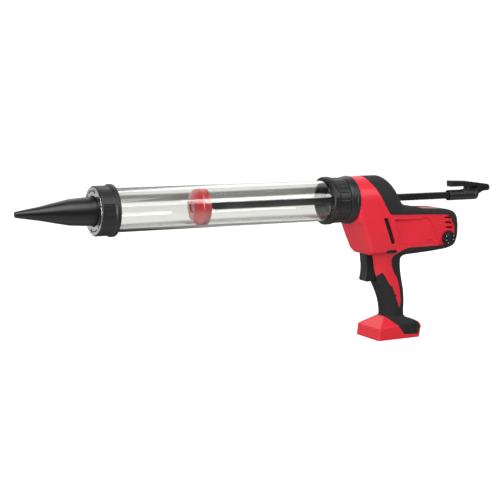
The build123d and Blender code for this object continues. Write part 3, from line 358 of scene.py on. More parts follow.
def rounded_outline(corners):
    """Closed outline from (u, v, radius) corners, with an arc of that radius at each."""
    points = []
    count = len(corners)
    for index, (u, v, radius) in enumerate(corners):
        here = np.array((u, v))
        before = np.array(corners[index - 1][:2]) - here
        after = np.array(corners[(index + 1) % count][:2]) - here
        reach = min(np.linalg.norm(before), np.linalg.norm(after)) * 0.49
        before = before / np.linalg.norm(before)
        after = after / np.linalg.norm(after)
        half = math.acos(float(np.clip(before @ after, -1, 1))) / 2
        setback = min(radius / math.tan(half), reach) if radius > 0 else 0.0
        if setback < SMALLEST_ARC or half > 1.55:
            points.append(here)
            continue
        true_radius = setback * math.tan(half)
        middle = here + (before + after) / np.linalg.norm(before + after) * true_radius / math.sin(half)
        start = here + before * setback - middle
        finish = here + after * setback - middle
        sweep = math.acos(float(np.clip(start @ finish / true_radius ** 2, -1, 1)))
        steps = max(2, int(sweep * true_radius / ARC_STEP), int(sweep / ARC_TURN))
        for step in range(steps + 1):
            share = step / steps
            arc = math.sin((1 - share) * sweep) * start + math.sin(share * sweep) * finish
            points.append(middle + arc / math.sin(sweep))
    return np.array(points)


def outline_distance(u, v, points):
    """Signed distance from (u, v) to a closed outline, negative inside."""
    nearest = np.full(np.broadcast(u, v).shape, 1e12, np.float32)
    inside = np.zeros(nearest.shape, bool)
    for start, end in zip(points, np.roll(points, -1, axis=0)):
        edge = end - start
        du = u - start[0]
        dv = v - start[1]
        along = np.clip((du * edge[0] + dv * edge[1]) / (edge @ edge), 0, 1)
        nearest = np.minimum(nearest, (du - along * edge[0]) ** 2 + (dv - along * edge[1]) ** 2)
        if edge[1] != 0:
            crosses = (v >= min(start[1], end[1])) & (v < max(start[1], end[1]))
            inside ^= crosses & (u < start[0] + (v - start[1]) * edge[0] / edge[1])
    return np.where(inside, -1, 1).astype(np.float32) * np.sqrt(nearest)


class Outline:
    """Closed outline whose signed distance is tabled once and then looked up."""

    def __init__(self, corners, step=0.4, margin=12.0):
        points = rounded_outline(corners)
        self.step = step
        self.low = points.min(axis=0) - margin
        count = np.ceil((points.max(axis=0) + margin - self.low) / step).astype(int) + 2
        u = (self.low[0] + np.arange(count[0]) * step)[:, None]
        v = (self.low[1] + np.arange(count[1]) * step)[None, :]
        self.table = outline_distance(u, v, points)

    def __call__(self, u, v):
        rows, columns = self.table.shape
        a = np.clip((u - self.low[0]) / self.step, 0, rows - 1.001)
        b = np.clip((v - self.low[1]) / self.step, 0, columns - 1.001)
        i = a.astype(np.int32)
        j = b.astype(np.int32)
        a = (a - i).astype(np.float32)
        b = (b - j).astype(np.float32)
        near = self.table[i, j] * (1 - b) + self.table[i, j + 1] * b
        far = self.table[i + 1, j] * (1 - b) + self.table[i + 1, j + 1] * b
        return near * (1 - a) + far * a


def overlap(*fields):
    """Intersection with a sharp edge."""
    return functools.reduce(np.maximum, fields)


def union(*fields):
    """Union without a fillet."""
    return functools.reduce(np.minimum, fields)


def slab(value, low, high):
    """Distance from the range between low and high."""
    return np.maximum(low - value, value - high)


def both(a, b, radius):
    """Intersection with a rounded edge of that radius."""
    ra, rb = a + radius, b + radius
    outer = np.sqrt(np.maximum(ra, 0) ** 2 + np.maximum(rb, 0) ** 2)
    return outer + np.minimum(np.maximum(ra, rb), 0) - radius


def either(a, b, radius):
    """Union with a fillet of that radius."""
    return -both(-a, -b, radius)


def without(a, b, radius):
    """Difference with a rounded edge."""
    return both(a, -b, radius)


HEAD_SIDE = Outline([
    (99, 262, 0), (36, 262, 0), (7.4, 217.5, 20), (-6, 194, 6), (-20, 170, 5),
    (-18, 121.5, 5), (50.4, 123.4, 3), (68.2, 168.5, 8), (74.0, 174.0, 0), (99, 211, 0),
])
TAIL_SIDE = Outline([
    (25, 193.2, 0), (-22, 193.0, 20), (-45, 187.8, 30), (-84, 186.2, 30), (-104.5, 180.2, 16),
    (-112, 164, 25), (-111.5, 146, 18), (-102, 132.0, 12), (-84, 127.0, 20), (-20, 121.5, 0),
    (25, 121.5, 0),
])
HEAD_FRONT = Outline(
    [(-20, 122.8, 6), (20, 122.8, 6), (28.8, 129.5, 6), (31.5, 152, 20), (HEAD_R, BARREL_Z, 0)]
    + [
        (HEAD_R * math.cos(angle), BARREL_Z + HEAD_R * math.sin(angle), 0)
        for angle in np.linspace(0, math.pi, 49)[1:-1]
    ]
    + [(-HEAD_R, BARREL_Z, 0), (-31.5, 152, 20), (-28.8, 129.5, 6)]
)
TAIL_FRONT = Outline([
    (-TAIL_HALF_WIDTH, 118, 22), (TAIL_HALF_WIDTH, 118, 22), (TAIL_HALF_WIDTH, 198, 17),
    (-TAIL_HALF_WIDTH, 198, 17),
])
TAIL_PLAN = Outline([
    (-112, -TAIL_HALF_WIDTH, 26), (-8, -TAIL_HALF_WIDTH, 30), (30, -22, 0), (30, 22, 0),
    (-8, TAIL_HALF_WIDTH, 30), (-112, TAIL_HALF_WIDTH, 26),
])
# Grip sections: height, centre in X, half length, half width.
GRIP_SECTIONS = np.array([
    (14, -4.7, 18.6, 17.2), (38, -4.5, 17.3, 16.5), (56, -2.9, 19.4, 17.0), (72, 1.5, 22.2, 17.0),
    (84, 6.5, 24.3, 17.0), (100, 11.0, 25.5, 17.5), (114, 12.5, 26.0, 19.0), (134, 12.0, 29.0, 23.5),
])


def smooth_lookup(height, column):
    """Grip dimension at a height: straight pieces between sections, blurred over 12 mm."""
    total = 0.0
    for offset in (-6.0, -3.0, 0.0, 3.0, 6.0):
        total = total + np.interp(height + offset, GRIP_SECTIONS[:, 0], GRIP_SECTIONS[:, column])
    return (total / 5.0).astype(np.float32)


def head_form(x, y, z):
    """Gear head: crisp chin below, and a hump whose rear edges are rounded more than the chin's."""
    edge = np.interp(z, (175, 205, 222, 238), (6.5, 21, 14, 8)).astype(np.float32)
    return both(both(HEAD_SIDE(x, z), HEAD_FRONT(y, z), edge), x - HEAD_FRONT_X, 1.0)


def tail_form(x, y, z):
    """Motor housing, rounder at its rear end."""
    edge = np.interp(x, (-100, -60), (12, 7)).astype(np.float32)
    return both(both(TAIL_SIDE(x, z), TAIL_FRONT(y, z), edge), TAIL_PLAN(x, y), edge)


def grip_form(x, y, z):
    """Grip with flattened oval sections that lean and widen towards the trigger."""
    centre = smooth_lookup(z, 1)
    length = smooth_lookup(z, 2)
    width = smooth_lookup(z, 3)
    dx = (x - centre) / length
    dy = y / width
    power = 2.3
    reach = (np.abs(dx) ** power + np.abs(dy) ** power) ** (1 / power)
    steep = np.sqrt((dx / length) ** 2 + (dy / width) ** 2) / np.maximum(np.sqrt(dx ** 2 + dy ** 2), 0.05)
    oval = (reach - 1) / np.maximum(steep, 1 / 40)
    return overlap(oval, 12 - z, z - 136)


def foot_form(x, y, z):
    """Battery foot: upright walls, a rear lip and a hipped roof that climbs to the grip."""
    across = np.abs(y)
    front = (x - 36.8 + 0.11 * z) / math.hypot(1, 0.11)
    front_roof = (z - FOOT_WALL_Z + (x - 34.0) * 0.66) / math.hypot(1, 0.66)
    rear_roof = (z - ROOF_REAR_Z - (x + 33.5) * 0.4) / math.hypot(1, 0.4)
    rear_wall = (-x - 36.9 - 0.19 * z) / math.hypot(1, 0.19)
    rear = both(rear_wall, (z - FOOT_WALL_Z - (x + 40.0) * 1.2) / 1.56, 1.0)
    climb = (ROOF_REAR_Z - FOOT_WALL_Z) / 69.0
    side_climb = (x - 35) * climb + (across - FOOT_HALF_WIDTH) * 0.66
    side_roof = (z - FOOT_WALL_Z + side_climb) / math.hypot(1, 0.66)
    walls = both(both(front, rear, 3.0), across - FOOT_HALF_WIDTH, 3.0)
    roof = both(both(front_roof, side_roof, 2.0), both(rear_roof, z - FOOT_ROOF_Z, 1.5), 2.0)
    return both(both(walls, roof, 1.0), -z, 0.6)


def body_form(x, y, z):
    """The tool's outer body: head, tail, grip and foot, run into each other with fillets."""
    shoulder = np.interp(z, (130, 141, 176, 186), (3.5, 1.2, 1.2, 9.0)).astype(np.float32)
    body = either(head_form(x, y, z), tail_form(x, y, z), shoulder)
    saddle = np.interp(x, (2, 14), (9.0, 4.0)).astype(np.float32)
    body = either(body, grip_form(x, y, z), saddle)
    return either(body, foot_form(x, y, z), 4.0)


# The rubber's edge as (x, z, radius): down the hump, along the tail, and round the grip and the foot.
RUBBER_SIDE = Outline([
    (55.5, 250, 0), (53.7, 232, 20), (47, 221.4, 40), (37.3, 205, 60), (29.5, 192, 30), (23, 183.2, 6),
    (-20, 181.5, 40), (-76, 179.3, 10), (-84.5, 177.0, 6), (-90.5, 169, 10), (-94.3, 160, 20),
    (-95.3, 152, 8), (-95.5, 137, 6), (-88, 134, 6), (-12, 134, 10), (-3, 131.5, 12), (4, 127.6, 10),
    (9, 121.5, 8), (10.5, 114.5, 8), (8, 105.5, 20), (3.5, 96, 20), (-2.3, 89, 5), (-6, 80, 4),
    (-10.2, 55, 20), (-8.4, 41.7, 1), (-5.5, 48, 10), (2.3, 68, 20), (6, 75.4, 10), (10.6, 79.5, 6),
    (21.7, 96.4, 2), (25.3, 97.2, 2), (30, 92, 3), (34, 85.5, 3), (60, 84, 0), (60, 34, 0),
    (15.8, 34, 0), (6.7, 24.6, 2), (-2.5, 14.8, 2), (-9, 6.4, 2), (-33.5, 4.9, 1), (-36.6, 17.0, 1),
    (-31, 24.5, 3), (-26, 40, 6), (-130, 60, 0), (-130, 250, 0),
])
INLAY_PLAN = Outline([(-34, -13, 8), (-34, 13, 8), (-82, 16, 9), (-82, -16, 9)])


def rubber_zone(x, y, z):
    """Negative where the rubber overmould covers the body."""
    side = RUBBER_SIDE(x, z)
    inlay = np.maximum(INLAY_PLAN(x, y), 179 - z)
    return without(side, inlay, 0.5)


# ------------------------------------------------------------------ meshing a distance field
def field_slope(field, x, y, z, reach=0.05):
    """Gradient of a field at points, by central differences."""
    slopes = []
    for axis in range(3):
        shift = [0.0, 0.0, 0.0]
        shift[axis] = reach
        dx, dy, dz = shift
        slopes.append((field(x + dx, y + dy, z + dz) - field(x - dx, y - dy, z - dz)) / (2 * reach))
    slope = np.stack(slopes, axis=1).astype(np.float64)
    return slope / np.maximum(np.linalg.norm(slope, axis=1, keepdims=True), 1e-9)


def mesh_field(field, low, high, step=GRID):
    """Dual contouring: one vertex in each cell that the surface crosses, placed to keep edges sharp."""
    count = [int(math.ceil((b - a) / step)) + 1 for a, b in zip(low, high)]
    axes = [(a + np.arange(n) * step).astype(np.float32) for a, n in zip(low, count)]
    values = np.empty(count, np.float32)
    for start in range(0, count[0], 32):
        stop = min(start + 32, count[0])
        values[start:stop] = field(
            axes[0][start:stop, None, None], axes[1][None, :, None], axes[2][None, None, :],
        )
    cell_count = [n - 1 for n in count]
    quads = []
    hit_cells, hit_places, hit_normals = [], [], []
    for axis in range(3):
        near = np.take(values, range(count[axis] - 1), axis=axis)
        far = np.take(values, range(1, count[axis]), axis=axis)
        crossing = (near < 0) != (far < 0)
        for other in range(3):
            if other != axis:
                edge_slice = [slice(None)] * 3
                edge_slice[other] = slice(0, 1)
                crossing[tuple(edge_slice)] = False
                edge_slice[other] = slice(-1, None)
                crossing[tuple(edge_slice)] = False
        place = np.argwhere(crossing)
        start_value = near[crossing].astype(np.float64)
        share = start_value / (start_value - far[crossing])
        at = place * step + np.array(low)
        at[:, axis] += share * step
        # One secant step brings each crossing onto the true surface.
        normal = field_slope(field, at[:, 0], at[:, 1], at[:, 2])
        miss = field(at[:, 0], at[:, 1], at[:, 2])
        lean = normal[:, axis]
        steep = np.abs(lean) > 0.3
        shift = np.where(steep, miss / np.where(steep, lean, 1.0), 0.0)
        at[:, axis] -= np.clip(shift, -0.3 * step, 0.3 * step)
        b, c = (axis + 1) % 3, (axis + 2) % 3
        around = []
        for db, dc in ((0, 0), (-1, 0), (-1, -1), (0, -1)):
            cell = place.copy()
            cell[:, b] += db
            cell[:, c] += dc
            around.append((cell[:, 0] * cell_count[1] + cell[:, 1]) * cell_count[2] + cell[:, 2])
        ring = np.stack(around, axis=1)
        ring[start_value >= 0] = ring[start_value >= 0][:, ::-1]
        quads.append(ring)
        for cells in around:
            hit_cells.append(cells)
            hit_places.append(at)
            hit_normals.append(normal)
    del values
    cells = np.concatenate(hit_cells)
    places = np.concatenate(hit_places)
    normals = np.concatenate(hit_normals)
    used, slot = np.unique(cells, return_inverse=True)
    number = len(used)
    tally = np.bincount(slot, minlength=number).astype(np.float64)
    middle = np.stack([np.bincount(slot, places[:, i], number) / tally for i in range(3)], axis=1)
    reach = np.einsum("ij,ij->i", normals, places - middle[slot])
    square = np.zeros((number, 3, 3))
    right = np.zeros((number, 3))
    for i in range(3):
        right[:, i] = np.bincount(slot, normals[:, i] * reach, number)
        for j in range(3):
            square[:, i, j] = np.bincount(slot, normals[:, i] * normals[:, j], number)
    # The added weight keeps a vertex near its crossings where the surface is flat.
    square += np.eye(3) * 0.06
    vertices = middle + np.linalg.solve(square, right[:, :, None])[:, :, 0]
    corner = np.stack([
        used // (cell_count[1] * cell_count[2]), used // cell_count[2] % cell_count[1],
        used % cell_count[2],
    ], axis=1) * step + np.array(low)
    vertices = np.clip(vertices, corner + 0.02 * step, corner + 0.98 * step)
    faces = np.searchsorted(used, np.concatenate(quads))
    return vertices, faces


def mesh_object(name, vertices, faces):
    """Blender object from vertices in millimetres and quads."""
    mesh = bpy.data.meshes.new(name)
    mesh.vertices.add(len(vertices))
    mesh.vertices.foreach_set("co", (np.asarray(vertices) * MM).astype(np.float32).ravel())
    size = faces.shape[1]
    mesh.loops.add(faces.size)
    mesh.loops.foreach_set("vertex_index", faces.astype(np.int32).ravel())
    mesh.polygons.add(len(faces))
    mesh.polygons.foreach_set("loop_start", np.arange(0, faces.size, size, dtype=np.int32))
    mesh.polygons.foreach_set("loop_total", np.full(len(faces), size, dtype=np.int32))
    mesh.update(calc_edges=True)
    mesh.validate()
    made = bpy.data.objects.new(name, mesh)
    bpy.context.scene.collection.objects.link(made)
    return made


# ------------------------------------------------------------------ housing halves and overmoulds
SHELL_LOW = (-114.5, -1.2, -1.6)
SHELL_HIGH = (77.4, 34.8, 240.0)
GRILLE_LOW = (8.0, 22.0, 137.0)
GRILLE_HIGH = (39.0, 33.0, 182.0)
# The shallow details of the sides are cut no deeper than this.
SIDE_Y = 22.0
SCREW_SITES = [
    (14.0, 219.5), (63.0, 227.0), (63.5, 174.0), (43.0, 134.5), (-22.0, 129.5), (-98.0, 173.5),
    (-97.5, 138.0), (-1.0, 62.0), (14.0, 23.5),
]
BOSS_R = 4.4
HEAD_POCKET_R = 3.6
HEAD_POCKET_Y = -9.0
SCREW_R = 1.8
RUBBER_DEPTH = 1.8
PANEL_FLOOR_Y = 30.0
PANEL_RIM = 0.65
SEAM_GAP = 0.05
SEAM_GROOVE = 0.3
BORE_R = 26.3
BORE_REAR_X = 69.6
MOUTH_Z = (84.8, 125.9)
MOUTH_HALF_WIDTH = 9.6
MOUTH_REAR_X = 19.9
RAIL_Z = (4.2, 6.8)
RAIL_INNER_Y = 21.2
RAIL_FRONT_X = 24.0
TERMINAL_WELL_X = (4.9, 27.1)
TERMINAL_WELL_Z = (5.0, 19.1)
TERMINAL_WELL_HALF_WIDTH = 15.1
DIAL_HOLE_R = 2.9
DIAL_SEAT_R = 11.9
DIAL_SEAT_Y = 29.4
MOTOR_CLEAR_R = 20.6
VENT_SITES = [(-82.0, 174.5), (-83.5, 167.0), (-85.0, 159.8)]
VENT_TILT = math.radians(8)
BAFFLE_X = (-106.0, -74.0)
BAFFLE_Y = (22.4, 23.8)
BAFFLE_Z = (156.0, 178.5)

EXHAUST = Outline([(35.0, 178.8, 1), (27.0, 178.8, 1.5), (11.4, 140.5, 1.5), (18.8, 140.5, 1)])
PANEL = Outline([(18, 177.0, 1.5), (-49.5, 174.8, 1.5), (-63, 141.5, 1.5), (4, 141.8, 1.5)])
NOTCHES = [
    Outline([(-34.0, 176.6, 0.5), (-47.0, 176.0, 0.5), (-45.0, 173.6, 0.5), (-36.0, 173.6, 0.5)]),
    Outline([(-44.0, 143.4, 0.5), (-54.0, 143.2, 0.5), (-56.0, 141.2, 0.5), (-44.0, 141.2, 0.5)]),
]
LOCK_SLOT = Outline([(8.2, 126.6, 1.9), (25.8, 126.6, 1.9), (25.8, 131.8, 1.9), (8.2, 131.8, 1.9)])
FOOT_POCKET = Outline([(-30, 6.5, 1.5), (-12, 6.5, 1.5), (-12, 19, 1.5), (-30, 19, 1.5)])
DIAL_STEP = Outline([(-82, 132, 2), (-68, 131, 1.5), (-63, 137, 1.5), (-74, 146, 1.5), (-82, 146, 1)])


def vent_cuts(x, y, z):
    """Slanted slots of the air vents, down to the wall behind them."""
    c, s = math.cos(VENT_TILT), math.sin(VENT_TILT)
    slots = []
    for vent_x, vent_z in VENT_SITES:
        dx = (x - vent_x) * c + (z - vent_z) * s
        dz = (z - vent_z) * c - (x - vent_x) * s
        slots.append(overlap(np.abs(dz) - 1.5, np.abs(dx) - 6.2))
    return overlap(union(*slots), BAFFLE_Y[1] + 0.4 - np.abs(y))


def louvres(x, y, z, body):
    """Fine grooves and shallow ramps in front of the vents."""
    cuts = []
    for index in range(7):
        slat_x = -69.5 - 0.7 * index
        slat_z = 178.0 - 3.4 * index + 0.12 * (slat_x - x)
        cuts.append(overlap(np.abs(z - slat_z) - 0.7, np.abs(x - slat_x) - 7.0, -(body + 0.8)))
    for vent_x, vent_z in VENT_SITES:
        ahead = x - vent_x
        deep = np.clip(1.6 - 0.085 * (ahead + 6), 0, 1.6)
        band = overlap(np.abs(z - vent_z + 0.14 * ahead) - 2.3, slab(x, vent_x - 8, vent_x + 13))
        cuts.append(overlap(band, -(body + deep)))
    return union(*cuts)


def deep_openings(x, y, z):
    """Everything that goes right through the wall; negative inside the openings."""
    across = np.abs(y)
    bore = overlap(np.sqrt(y ** 2 + (z - BARREL_Z) ** 2) - BORE_R, BORE_REAR_X - x)
    passage = overlap(across - 5.3, np.abs(z - ROD_Z) - 5.7, slab(x, -40, 90))
    mouth = overlap(across - MOUTH_HALF_WIDTH, slab(z, *MOUTH_Z), MOUTH_REAR_X - x)
    exhaust = overlap(EXHAUST(x, z), 25 - across)
    channel = both(overlap(across - CHANNEL_HALF_WIDTH, x - CHANNEL_FRONT_X), z - CHANNEL_ROOF_Z, 0.6)
    rails = overlap(RAIL_INNER_Y - across, slab(z, *RAIL_Z), x - RAIL_FRONT_X)
    well = overlap(
        slab(x, *TERMINAL_WELL_X), across - TERMINAL_WELL_HALF_WIDTH, slab(z, *TERMINAL_WELL_Z),
    )
    from_dial = np.sqrt((x - DIAL_X) ** 2 + (z - DIAL_Z) ** 2)
    dial_hole = overlap(from_dial - DIAL_HOLE_R, 20 - y)
    dial_seat = overlap(from_dial - DIAL_SEAT_R, DIAL_SEAT_Y - y)
    return union(
        bore, passage, mouth, LOCK_SLOT(x, z), exhaust, vent_cuts(x, y, z), overlap(channel, -rails),
        well, dial_hole, dial_seat,
    )


def inner_supports(x, y, z, body):
    """Screw bosses, ribs and the wall behind the air vents, on the inside of the shells."""
    across = np.abs(y)
    supports = [np.sqrt((x - site_x) ** 2 + (z - site_z) ** 2) - BOSS_R for site_x, site_z in SCREW_SITES]
    motor = np.sqrt(y ** 2 + (z - MOTOR_Z) ** 2) - MOTOR_CLEAR_R
    for rib_x in (-62.0, -30.0, -11.0):
        supports.append(overlap(slab(x, rib_x, rib_x + 2.4), -motor, slab(z, 140, 196)))
    rod_hole = overlap(across - 7.05, np.abs(z - ROD_Z) - 8.05)
    for rib_x in (4.9, 64.0):
        supports.append(overlap(slab(x, rib_x, rib_x + 2.2), -rod_hole, slab(z, 191, 217)))
    switch_hole = union(overlap(across - 9.1, np.abs(x - 4.5) - 12.6), overlap(across - 10, 16 - x))
    for rib_z in (96.0, 114.0):
        supports.append(overlap(slab(z, rib_z, rib_z + 2.0), -switch_hole))
    supports.append(overlap(slab(x, *BAFFLE_X), slab(z, *BAFFLE_Z), slab(across, *BAFFLE_Y)))
    return overlap(union(*supports), body + 2.5)


def screw_holes(x, y, z):
    """Clearance for the shanks and pockets for the heads, which sit in the right half."""
    holes = []
    for site_x, site_z in SCREW_SITES:
        reach = np.sqrt((x - site_x) ** 2 + (z - site_z) ** 2)
        holes.append(overlap(reach - HEAD_POCKET_R, y - HEAD_POCKET_Y))
        holes.append(overlap(reach - SCREW_R, y - 20))
    return union(*holes)


def seam_cut(y, body, side):
    """Mating plane of the two halves, opened into a small V at the surface."""
    groove = SEAM_GROOVE * np.clip(1 + body / 0.6, 0, 1)
    return SEAM_GAP + groove - side * y


def side_details(x, y, z, body):
    """Outer surface of the red shell: panel, rim, notches, louvres, dial step and seat of the rubber."""
    across = np.abs(y)
    inside_panel = PANEL(x, z)
    panel = both(inside_panel, PANEL_FLOOR_Y - across, 0.3)
    step = both(DIAL_STEP(x, z), -(body + 1.5), 0.3)
    recess = overlap(union(panel, step, louvres(x, y, z, body)), SIDE_Y - across)
    covered = overlap(rubber_zone(x, y, z), -(body + RUBBER_DEPTH))
    surface = both(body, -union(recess, covered), 0.3)
    rim = both(both(inside_panel - 1.1, -(inside_panel + 0.5), 0.3), body - PANEL_RIM, 0.3)
    surface = union(surface, overlap(rim, SIDE_Y - across))
    return both(surface, -overlap(panel_notches(x, z, body), SIDE_Y - across), 0.2)


def panel_notches(x, z, body):
    """Short steps in the panel's top and bottom edges."""
    return overlap(union(NOTCHES[0](x, z), NOTCHES[1](x, z)), -(body + 2.2))


def red_field(side):
    """One red shell: its surface, its wall, what stands inside it, and the openings through it."""
    def field(x, y, z):
        body = body_form(x, y, z)
        outside = side_details(x, y, z, body)
        backing = overlap(PANEL(x, z) - 2.0, slab(np.abs(y), 27.4, PANEL_FLOOR_Y), body + 0.5)
        backing = overlap(backing, -panel_notches(x, z, body))
        roof = both(overlap(foot_form(x, y, z), z - CHANNEL_ROOF_Z - SHELL), -(z - 2.0), 0.3)
        wall = overlap(outside, -(body + SHELL))
        solid = union(wall, backing, inner_supports(x, y, z, body), overlap(roof, outside))
        solid = both(solid, -deep_openings(x, y, z), 0.25)
        solid = overlap(solid, -screw_holes(x, y, z))
        return both(solid, seam_cut(y, outside, side), 0.1)
    return field


def rubber_field(side):
    """One rubber overmould, a little proud of the red shell."""
    def field(x, y, z):
        body = body_form(x, y, z)
        zone = rubber_zone(x, y, z) + SEAM
        skin = both(body - RUBBER_PROUD, zone, 0.45)
        foot_pocket = overlap(FOOT_POCKET(x, z), -(body + 1.1), 20 - np.abs(y))
        skin = both(skin, -foot_pocket, 0.3)
        solid = overlap(skin, -(body + RUBBER_DEPTH - 0.05))
        solid = both(solid, -deep_openings(x, y, z), 0.4)
        solid = overlap(solid, -screw_holes(x, y, z))
        return both(solid, seam_cut(y, body, side), 0.1)
    return field


def grille_field(side):
    """Baffle behind the exhaust opening, with slats that stand up into it."""
    def field(x, y, z):
        body = body_form(x, y, z)
        plate = both(EXHAUST(x, z) - 1.6, slab(body, -4.7, -3.1), 0.2)
        slats = overlap(np.abs((z - 0.25 * x) % 4.2 - 2.1) - 0.7, slab(body, -4.0, -1.9))
        slats = overlap(slats, EXHAUST(x, z) + 0.25)
        return overlap(union(plate, slats), 20 - side * y)
    return field


def finish_piece(piece, slot, body="housing", crease=38.0, replaces=()):
    """Ride, slot, finish and shading of a visual piece, and the CAD nodes that it stands in for."""
    if replaces:
        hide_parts(*replaces)
    piece.data.shade_smooth()
    piece.data.set_sharp_from_angle(angle=math.radians(crease))
    paint(piece, slot)
    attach(piece, body)


def side_limits(low, high, side):
    """Corners of a box that is given for the left side, mirrored for the right one."""
    if side > 0:
        return low, high
    return (low[0], -high[1], low[2]), (high[0], -low[1], high[2])


def make_housing():
    for side, name in ((1, "left"), (-1, "right")):
        limits = side_limits(SHELL_LOW, SHELL_HIGH, side)
        red = mesh_object(f"shell_{name}", *mesh_field(red_field(side), *limits))
        finish_piece(red, "red_shell", replaces=[f"housing_{name}"])
        rubber = mesh_object(f"grip_rubber_{name}", *mesh_field(rubber_field(side), *limits))
        finish_piece(rubber, "rubber", replaces=[f"overmould_{name}"])
        limits = side_limits(GRILLE_LOW, GRILLE_HIGH, side)
        grille = mesh_object(f"exhaust_grille_{name}", *mesh_field(grille_field(side), *limits, step=0.5))
        finish_piece(grille, "black_plastic")


make_housing()


# ------------------------------------------------------------------ barrel, rod and controls
FINE = 0.4
NOZZLE_TIP_X = 562.6
RING_REAR_X = 434.8
RING_FRONT_X = 460.4
RING_R = 32.2
RING_MARK_R = 26.0


def turned(name, profile, slot, body, replaces=(), segments=96):
    """Piece of revolution about the barrel's axis from (x, radius, corner radius) points."""
    points = rounded_outline(profile)
    angles = np.arange(segments) * 2 * math.pi / segments
    places = np.stack([
        np.repeat(points[:, 0], segments),
        np.outer(points[:, 1], np.cos(angles)).ravel(),
        BARREL_Z + np.outer(points[:, 1], np.sin(angles)).ravel(),
    ], axis=1)
    count = len(points)
    row = np.arange(count)[:, None]
    column = np.arange(segments)[None, :]
    after_row = (row + 1) % count
    after_column = (column + 1) % segments
    faces = np.stack([
        row * segments + column, after_row * segments + column,
        after_row * segments + after_column, row * segments + after_column,
    ], axis=2).reshape(-1, 4)
    area = np.sum(points[:, 0] * np.roll(points[:, 1], -1) - np.roll(points[:, 0], -1) * points[:, 1])
    if area < 0:
        faces = faces[:, ::-1]
    piece = mesh_object(name, places, faces)
    finish_piece(piece, slot, body, crease=34.0, replaces=replaces)
    return piece


def carved(name, field, low, high, slot, body, replaces=(), step=FINE):
    """Piece meshed from a distance field."""
    piece = mesh_object(name, *mesh_field(field, low, high, step))
    finish_piece(piece, slot, body, crease=36.0, replaces=replaces)
    return piece


def radius(y, z):
    """Distance from the barrel's axis."""
    return np.sqrt(y ** 2 + (z - BARREL_Z) ** 2)


def spoke(y, z, count, phase=0.0):
    """Outward and sideways distance along the nearest of the spokes round the barrel's axis."""
    sector = 2 * math.pi / count
    angle = np.arctan2(z - BARREL_Z, y) - phase
    off = angle - sector * np.round(angle / sector)
    return radius(y, z) * np.cos(off), radius(y, z) * np.sin(off)


def round_box(x, y, z, centre, half, corner):
    """Box with rounded edges."""
    a, b, c = (np.abs(v - m) - h + corner for v, m, h in zip((x, y, z), centre, half))
    outer = np.sqrt(np.maximum(a, 0) ** 2 + np.maximum(b, 0) ** 2 + np.maximum(c, 0) ** 2)
    return outer + np.minimum(np.maximum(a, np.maximum(b, c)), 0) - corner


RING_PROFILE = Outline([
    (RING_REAR_X, 28.85, 0.2), (RING_REAR_X, 33.9, 0.7), (439.6, 34.1, 1.2), (441.8, 32.2, 1.0),
    (RING_FRONT_X - 1.4, RING_R, 1.2), (RING_FRONT_X, 30.4, 0.5), (RING_FRONT_X, 19.4, 0.4),
    (455.5, 19.2, 0.2), (455.5, 28.85, 0.2),
], step=0.15, margin=6.0)


def ring_field(x, y, z):
    """Front ring with five ribbed finger pads and a notched rear flange."""
    phase = math.radians(8.5)
    solid = RING_PROFILE(x, radius(y, z))
    out, aside = spoke(y, z, 5, phase)
    pad = round_box(x, out, aside, (449.9, RING_R + 1.4, 0.0), (7.6, 2.3, 7.0), 0.6)
    line_out, line_aside = spoke(y, z, 40, phase)
    rib = overlap(np.abs(line_aside) - 0.45, slab(x, 443.5, 456.5), line_out - RING_R + 0.45)
    solid = both(solid, -overlap(pad, -rib), 0.25)
    notch = overlap(np.abs(line_aside) - 0.5, slab(x, 435.2, 438.6), 33.9 - line_out)
    return both(solid, -notch, 0.2)


def mark_field(x, y, z):
    """Turning arrows and bars raised on the ring's front face."""
    reach = radius(y, z)
    from_circle = np.abs(reach - RING_MARK_R)
    angle = np.arctan2(z - BARREL_Z, y)
    marks = []
    for middle in (math.radians(100), math.radians(-80)):
        off = (angle - middle + math.pi) % (2 * math.pi) - math.pi
        head = (reach * off + 13.2) * 0.9
        marks.append(overlap(from_circle - 0.75, reach * (np.abs(off) - 0.42)))
        marks.append(overlap(from_circle - head * 0.75, head - 3.6, -head))
        for turn in (0.62, 0.78, 0.94):
            marks.append(overlap(from_circle - 2.2, reach * np.abs(off - turn) - 0.8))
    return both(union(*marks), slab(x, RING_FRONT_X - 0.6, RING_FRONT_X + 0.65), 0.2)


def face_field(x, y, z):
    """Polished land between the ring's hole and its rim."""
    reach = radius(y, z)
    return both(slab(reach, 19.9, 30.6), slab(x, RING_FRONT_X - 0.8, RING_FRONT_X + 0.3), 0.25)


COLLAR_PROFILE = Outline([
    (89.1, 27.2, 0.2), (89.1, 31.9, 0.8), (107.3, 32.3, 0.8), (109.3, 33.7, 1.0), (116.2, 33.7, 1.2),
    (117.6, 32.2, 0.6), (117.6, 28.6, 0.2), (93.9, 28.6, 0.2), (93.9, 27.2, 0.2),
], step=0.15, margin=6.0)


def collar_field(x, y, z):
    """Rear locking collar: fluted and knurled outside, threaded inside."""
    reach = radius(y, z)
    solid = COLLAR_PROFILE(x, reach)
    out, aside = spoke(y, z, 20, 0.1)
    flute = np.sqrt((out - 33.3) ** 2 + aside ** 2) - 1.7
    flute = both(flute, slab(x, 91.5, 106.0), 0.6)
    fine_out, fine_aside = spoke(y, z, 90)
    knurl = overlap(np.abs(fine_aside) - 0.5, slab(x, 110.6, 115.4), 33.25 - fine_out)
    thread = overlap(np.abs((x - 96.6) % 4.4 - 2.2) - 1.2, reach - 30.0, slab(x, 96.6, 116.0))
    return both(solid, -union(flute, knurl, thread), 0.25)


